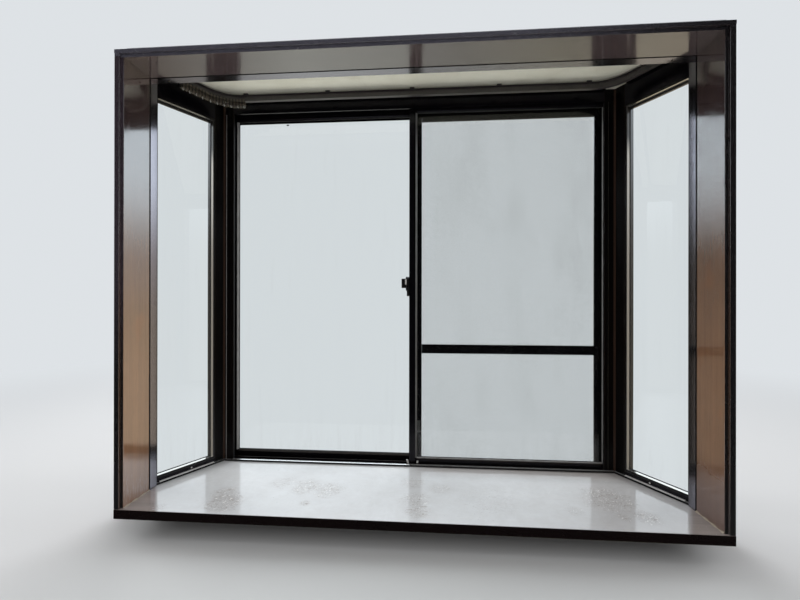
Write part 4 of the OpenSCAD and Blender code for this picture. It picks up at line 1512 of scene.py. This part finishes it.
@dataclass
class Weathering(Assembly):
    """Covers, corner pieces and screws on the outer side.

    A hood's section stands off the track's face and off the hood's middle height, and its ends
    hold a place along it and the share of the section there. Screws hold radius and height.
    """

    track_face: float = 0.2869
    hood_x: tuple[float, ...] = (-0.52, -0.13, 0.17, 0.54)
    hood_z: float = 0.05
    hood: Outline = (
        (-0.0002, -0.0045), (0.0012, -0.0045), (0.0040, -0.0030), (0.0048, 0.0),
        (0.0036, 0.0030), (0.0010, 0.0045), (-0.0002, 0.0045),
    )
    hood_ends: Outline = ((-0.016, 0.45), (-0.0145, 1.0), (0.0145, 1.0), (0.016, 0.45))
    roof_corner: Pair = (0.7392, 0.3289)
    fascia: Pair = (1.3972, 1.4368)
    plate_leg: float = 0.028
    plate_t: float = 0.0009
    rivet_along: float = 0.62
    rivet_out: float = 0.9
    rivet_inset: float = 0.010
    rivet: Outline = ((0.0022, 0.0), (0.0021, 0.0005), (0.0015, 0.0011), (0.0006, 0.0013))
    roof_fall: float = 0.0918
    screw_pitch: float = 0.265
    screw_yz: Pair = (0.036, 1.4640)
    washer: Outline = ((0.0062, 0.0), (0.0062, 0.0006), (0.0050, 0.0012), (0.0036, 0.0013))
    hexagon: Outline = ((0.0040, 0.0012), (0.0040, 0.0036), (0.0032, 0.0044), (0.0012, 0.0047))

    def build(self) -> None:
        """Makes all outer details."""
        hoods = Piece("weep_covers")
        for x in self.hood_x:
            hoods.sweep([
                [(x + shift, self.track_face + out * share, self.hood_z + up * (0.7 + 0.3 * share))
                 for out, up in self.hood]
                for shift, share in self.hood_ends
            ])
        hoods.done(self.wardrobe.bronze[Run.ACROSS], Slot.BRONZE)
        plates, rivets = Piece("roof_corner_covers"), Piece("roof_rivets")
        for side in (-1, 1):
            self._roof_corner(plates, rivets, side)
        self.paint(plates, Paint.SHEET, Slot.SHEET, 0.0002)
        self.paint(rivets, Paint.STEEL, Slot.LOCK)
        screws = Piece("flashing_screws")
        tilt = Matrix.Rotation(-math.atan(self.roof_fall), 4, "X")
        for k in range(-3, 4):
            place = Matrix.Translation((k * self.screw_pitch, *self.screw_yz)) @ tilt
            screws.turned(self.washer, place, 24)
            screws.turned(self.hexagon, place, 6)
        self.paint(screws, Paint.STEEL, Slot.LOCK, 0.0, 35.0)

    def _roof_corner(self, plates: Piece, rivets: Piece, side: int) -> None:
        """Adds a folded cover plate to a corner of the roof's fascia, with its rivets.

        Args:
            plates: The piece of the plates.
            rivets: The piece of the rivets.
            side: -1 for the left corner and 1 for the right one.
        """
        low, high = self.fascia
        leg, thick = self.plate_leg, self.plate_t
        cos, sin = math.cos(self.plan.angle), math.sin(self.plan.angle)
        corner = Vector((side * self.roof_corner[0], self.roof_corner[1], 0.0))
        along, back = Vector((-side, 0.0, 0.0)), Vector((side * cos, -sin, 0.0))
        front, flank = Vector(Y), Vector((side * sin, cos, 0.0))
        tip = thick * (front + flank) / (1 + front.dot(flank))
        inner = [corner + along * leg, corner, corner + back * leg]
        outer = [inner[0] + front * thick, corner + tip, inner[2] + flank * thick]
        plates.sweep([
            [(a.x, a.y, low), (b.x, b.y, low), (b.x, b.y, high), (a.x, a.y, high)]
            for a, b in zip(inner, outer)
        ])
        for way, normal in ((along, front), (back, flank)):
            spot = corner + way * (leg * self.rivet_along) + normal * (thick * self.rivet_out)
            for z in (low + self.rivet_inset, high - self.rivet_inset):
                place = Matrix.Translation((spot.x, spot.y, z)) @ facing_turn(normal)
                rivets.turned(self.rivet, place, 14)


@dataclass
class SmallFittings(Assembly):
    """Screws, stops, pulls and caulk.

    A screw holds radius and height. A stop holds its left and right edge, its place before the
    stile's face, its foot, its top and how far the top leans.
    """

    ring_screw_x: Pair = (-0.775, 0.769)
    ring_screw_y: float = -0.003
    ring_screw: Pair = (0.0035, 0.0018)
    sill_screw_at: Pair = (0.118, 0.0145)
    sill_screw: Pair = (0.0027, 0.0014)
    stops: tuple[tuple[float, ...], ...] = (
        (-0.0190, -0.0128, 0.001, 0.0665, 0.0795, 0.0035),
        (0.0150, 0.0212, -0.004, 0.0705, 0.0780, -0.0015),
    )
    stop_depth: float = 0.005
    stop_lean: Outline = ((0.0, 0.0), (0.6, 0.3), (1.0, 1.0))
    pull: tuple[tuple[Colour, Colour], ...] = (
        ((0.0150, 0.2868, 0.170), (0.0285, 0.2901, 0.214)),
        ((0.0165, 0.2838, 0.174), (0.0195, 0.2872, 0.210)),
    )
    speck_xz: Pair = (-0.486, 1.345)
    speck_stretch: Colour = (1.5, 0.75, 1.0)
    speck: Outline = ((0.0036, 0.0), (0.0033, 0.0005), (0.0024, 0.0010), (0.0011, 0.0012))
    slide_x: Pair = (-0.0270, -0.0215)
    slide_y: Pair = (-0.0007, 0.0006)
    slide_z: Pair = (0.7250, 0.7440)
    caulk_mean: float = 0.0021
    caulk_uneven: float = 0.0011
    caulk_swell: float = 0.0012
    caulk_rate: float = 0.45
    caulk_least: float = 0.0012
    caulk_steps: int = 46
    caulk_ends: Pair = (0.009, 0.003)
    caulk_under: float = 0.0002
    caulk_behind: float = 0.0004
    seed: int = 7

    def build(self) -> None:
        """Makes all small fittings."""
        self._screws()
        self._stops()
        piece = Piece("screen_pull")
        for low, high in self.pull:
            piece.box(low, high)
        self.paint(piece, Paint.GREY, Slot.LOCK, 0.0009)
        piece = Piece("pane_speck")
        x, z = self.speck_xz
        place = Matrix.Translation((x, self.plan.outer_y + self.plan.glass_t / 2, z))
        place = place @ Matrix.Rotation(-math.pi / 2, 4, "X")
        piece.turned(self.speck, place @ Matrix.Diagonal((*self.speck_stretch, 1.0)), 14)
        self.paint(piece, Paint.BLACK, Slot.GLASS)
        low, high = zip(self.slide_x, self.slide_y, self.slide_z)
        shift = Vector((0.0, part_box("crescent_lever")[0].y, 0.0))
        piece = Piece("crescent_slide")
        piece.box(Vector(low) + shift, Vector(high) + shift)
        self.paint(piece, Paint.WHITE, Slot.LOCK, 0.0005)
        self._caulk()

    def _screws(self) -> None:
        """Makes the screws of the ring head and of the side sills."""
        plan = self.plan
        down = Matrix.Rotation(math.pi, 4, "X")
        piece = Piece("ring_screws")
        for x in self.ring_screw_x:
            place = Matrix.Translation((x, self.ring_screw_y, plan.head_z))
            piece.screw(place @ down, *self.ring_screw)
        self.paint(piece, Paint.STEEL, Slot.LOCK)
        piece = Piece("side_sill_screws")
        along, up = self.sill_screw_at
        for right in (False, True):
            spot = plan.side(along, plan.face_set, plan.counter_z + up, right)
            room = Vector((math.sin(plan.angle) * (-1 if right else 1), -math.cos(plan.angle), 0))
            piece.screw(Matrix.Translation(spot) @ facing_turn(room), *self.sill_screw)
        self.paint(piece, Paint.WHITE, Slot.LOCK)

    def _stops(self) -> None:
        """Makes the white stops at the foot of the meeting stile."""
        face = self.plan.inner_y - self.plan.sash_t / 2
        piece = Piece("stile_stops")
        for x0, x1, before, z0, z1, lean in self.stops:
            y0, y1 = face + before, face + before + self.stop_depth
            section = ((x0, y0), (x1, y0), (x1, y1), (x0, y1))
            levels = [(z0 + (z1 - z0) * up, -lean * share) for up, share in self.stop_lean]
            piece.sweep([[(x + shift, y, z) for x, y in section] for z, shift in levels])
        self.paint(piece, Paint.WHITE, Slot.LOCK, 0.0008)

    def _caulk(self) -> None:
        """Makes the caulk at the foot of both jamb boards, laid by hand."""
        plan = self.plan
        rng = random.Random(self.seed)
        start = plan.front_y + self.caulk_ends[0]
        run = -plan.ring_in - self.caulk_ends[1] - start
        arc = [math.pi / 2 * i / 4 for i in range(5)]
        piece = Piece("jamb_caulk")
        for side in (-1, 1):
            rows = []
            for k in range(self.caulk_steps + 1):
                swell = self.caulk_swell * math.sin(k * self.caulk_rate + side)
                r = self.caulk_mean + self.caulk_uneven * rng.random() + swell
                r = max(r, self.caulk_least)
                section = [(r * (1 - math.sin(a)), r * (1 - math.cos(a))) for a in arc]
                section += [(-self.caulk_behind, r), (-self.caulk_behind, -self.caulk_under),
                            (r, -self.caulk_under)]
                y = start + run * k / self.caulk_steps
                rows.append([
                    (side * (plan.half_w - out), y, plan.counter_z + up) for out, up in section
                ])
            piece.sweep(rows)
        self.paint(piece, Paint.CAULK, Slot.CEILING, 0.0, 60.0)


@dataclass(frozen=True)
class Lamp:
    """A soft lamp that no camera, mirror or glass ray sees. Power is in watts."""

    name: str
    spot: Colour
    target: Colour
    size: Pair
    power: float
    colour: Colour = (1.0, 1.0, 1.0)
    spread: float = 180.0

    def add(self) -> None:
        """Adds the lamp to the scene."""
        data = bpy.data.lights.new(self.name, "AREA")
        data.shape = "RECTANGLE"
        data.size, data.size_y = self.size
        data.energy = self.power
        data.color = self.colour
        data.spread = math.radians(self.spread)
        lamp = put(self.name, data)
        lamp.location = self.spot
        lamp.rotation_mode = "QUATERNION"
        lamp.rotation_quaternion = (Vector(self.target) - lamp.location).to_track_quat("-Z", "Y")
        lamp.visible_camera = False
        lamp.visible_glossy = False
        lamp.visible_transmission = False


@dataclass
class Studio:
    """A pale floor and backdrop, soft lamps and the camera."""

    pale: Colour = (0.73, 0.762, 0.79)
    floor_tone: Colour = (0.60, 0.605, 0.61)
    floor_mottle: Colour = (0.5, 0.5, 0.49)
    floor_half: float = 60.0
    floor_fade: Pair = (1.3, 4.5)
    sky: Colour = (2.25, 2.4, 2.6)
    haze: Colour = (1.2, 1.15, 1.3)
    room: Colour = (0.016, 0.016, 0.018)
    ground: tuple[tuple[float, Colour], ...] = (
        (0.0, (0.34, 0.31, 0.29)), (0.22, (0.21, 0.17, 0.13)), (0.36, (0.86, 0.87, 0.80)),
        (0.5, (0.66, 0.66, 0.60)), (0.64, (0.66, 0.62, 0.47)), (0.79, (0.72, 0.58, 0.44)),
        (1.0, (0.60, 0.53, 0.43)),
    )
    ambient: Colour = (0.55, 0.55, 0.55)
    picture_px: float = 800.0
    focal_px: float = 387.96
    sensor: float = 36.0
    eye: Colour = (0.056634, -1.194498, 0.667865)
    yaw: float = -0.072
    pitch: float = 0.00049
    roll: float = 0.00144
    lamps: tuple[Lamp, ...] = (
        Lamp("sky_panel", (-0.5, 3.4, 3.0), (0.0, 0.1, 0.5), (4.5, 2.6), 145.0, (0.96, 0.98, 1.0)),
        Lamp("room_panel", (0.8, -3.6, 2.4), (0.0, 0.0, 0.6), (3.2, 2.4), 14.0, (1.0, 0.98, 0.95)),
        Lamp("left_panel", (-3.9, 0.6, 2.2), (0.0, 0.0, 0.6), (2.0, 2.0), 14.0, spread=70.0),
        Lamp("right_panel", (3.9, 0.6, 2.2), (0.0, 0.0, 0.6), (2.0, 2.0), 11.0, spread=70.0),
        Lamp("ground_panel", (0.0, 1.75, 0.0), (0.0, 1.7, 3.0), (4.8, 1.9), 48.0,
             (1.0, 0.98, 0.91)),
    )

    def build(self, floor_z: float) -> None:
        """Sets up the whole studio.

        Args:
            floor_z: Height of its floor.
        """
        bpy.context.scene.view_settings.view_transform = "Standard"
        self._camera()
        self._world()
        self._floor(floor_z)
        for lamp in self.lamps:
            lamp.add()

    def _camera(self) -> None:
        """Places the camera at the photograph's viewing angle."""
        data = bpy.data.cameras.new("view")
        data.sensor_width = self.sensor
        data.lens = self.focal_px / self.picture_px * self.sensor
        data.clip_start = 0.02
        data.clip_end = 200.0
        cos, sin = math.cos(self.yaw), math.sin(self.yaw)
        ahead = Vector((sin * math.cos(self.pitch), cos * math.cos(self.pitch),
                        math.sin(self.pitch)))
        level = Vector((cos, -sin, 0.0))
        above = level.cross(ahead)
        right = level * math.cos(self.roll) + above * math.sin(self.roll)
        up = above * math.cos(self.roll) - level * math.sin(self.roll)
        turn = Matrix((right, up, -ahead)).transposed().to_4x4()
        camera = put("view", data)
        camera.matrix_world = Matrix.Translation(self.eye) @ turn
        bpy.context.scene.camera = camera

    def _world(self) -> None:
        """Sets a pale surround for camera and glass, and sky, ground and dim room for gloss."""
        world = bpy.data.worlds.new("studio")
        world.use_nodes = True
        world.cycles.sampling_method = "NONE"
        bpy.context.scene.world = world
        sheet = Sheet("", world.node_tree)
        ahead = sheet.place("Generated")
        level = sheet.part_of(ahead, Z)
        across = sheet.part_of(ahead, X) * 0.5 + 0.5
        haze = level.step(-0.06, 0.10) * across.step(0.52, 0.72) * 0.28
        outdoors = sheet.layers(
            sheet.ramp(across, self.ground), (haze, self.haze), (level.step(0.07, 0.27), self.sky)
        )
        outward = sheet.part_of(ahead, Y).step(-0.25, 0.1)
        mirrored = sheet.blend(outward, self.room, outdoors)
        soft = sheet.blend(sheet.ray("Glossy"), self.ambient, mirrored)
        shown = sheet.blend(sheet.ray("Camera", "Transmission"), soft, self.pale)
        sheet.show(sheet.node("Background", {}, {"Color": shown, "Strength": 1.0}).outputs[0])

    def _floor(self, floor_z: float) -> None:
        """Adds a matt floor that keeps the shadow and fades into the pale surround.

        Args:
            floor_z: Its height.
        """
        sheet = Sheet("studio_floor")
        point = sheet.place()
        far = sheet.signal("VectorMath", {"operation": "LENGTH"}, {0: point}, "Value")
        seen = sheet.ray("Camera", "Transmission") * far.step(*self.floor_fade)
        mottle = sheet.noise(point, 3.0, 2.0) * 0.02
        tone = sheet.blend(mottle, self.floor_tone, self.floor_mottle)
        matt = sheet.surface(Base_Color=tone, Roughness=0.9)
        glow = sheet.node("Emission", {}, {"Color": self.pale, "Strength": 1.0}).outputs[0]
        near = sheet.either(seen, matt, glow)
        sheet.show(sheet.either(sheet.ray("Glossy"), near, sheet.clear()))
        half = self.floor_half
        spots = [(x * half, y * half, floor_z) for x, y in ((-1, -1), (1, -1), (1, 1), (-1, 1))]
        data = bpy.data.meshes.new("studio_floor")
        data.from_pydata(spots, [], [(0, 1, 2, 3)])
        data.materials.append(sheet.material)
        made = put("studio_floor", data)
        made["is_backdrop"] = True


def main() -> None:
    """Builds the dressed bay window and its studio."""
    logging.basicConfig(level=logging.INFO, format="%(message)s")
    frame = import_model()
    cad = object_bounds()
    plan = BayPlan()
    wardrobe = Wardrobe(plan)
    Frame(frame["nodes"], wardrobe).dress()
    Glazing(plan, wardrobe).build()
    Seals(plan, wardrobe).build()
    gear = RailGear(plan, wardrobe)
    gear.shade(frame["nodes"]["curtain_runners"])
    gear.build()
    SmallFittings(plan, wardrobe).build()
    Weathering(plan, wardrobe).build()
    Studio().build(cad[0].z)


if __name__ == "__main__":
    main()
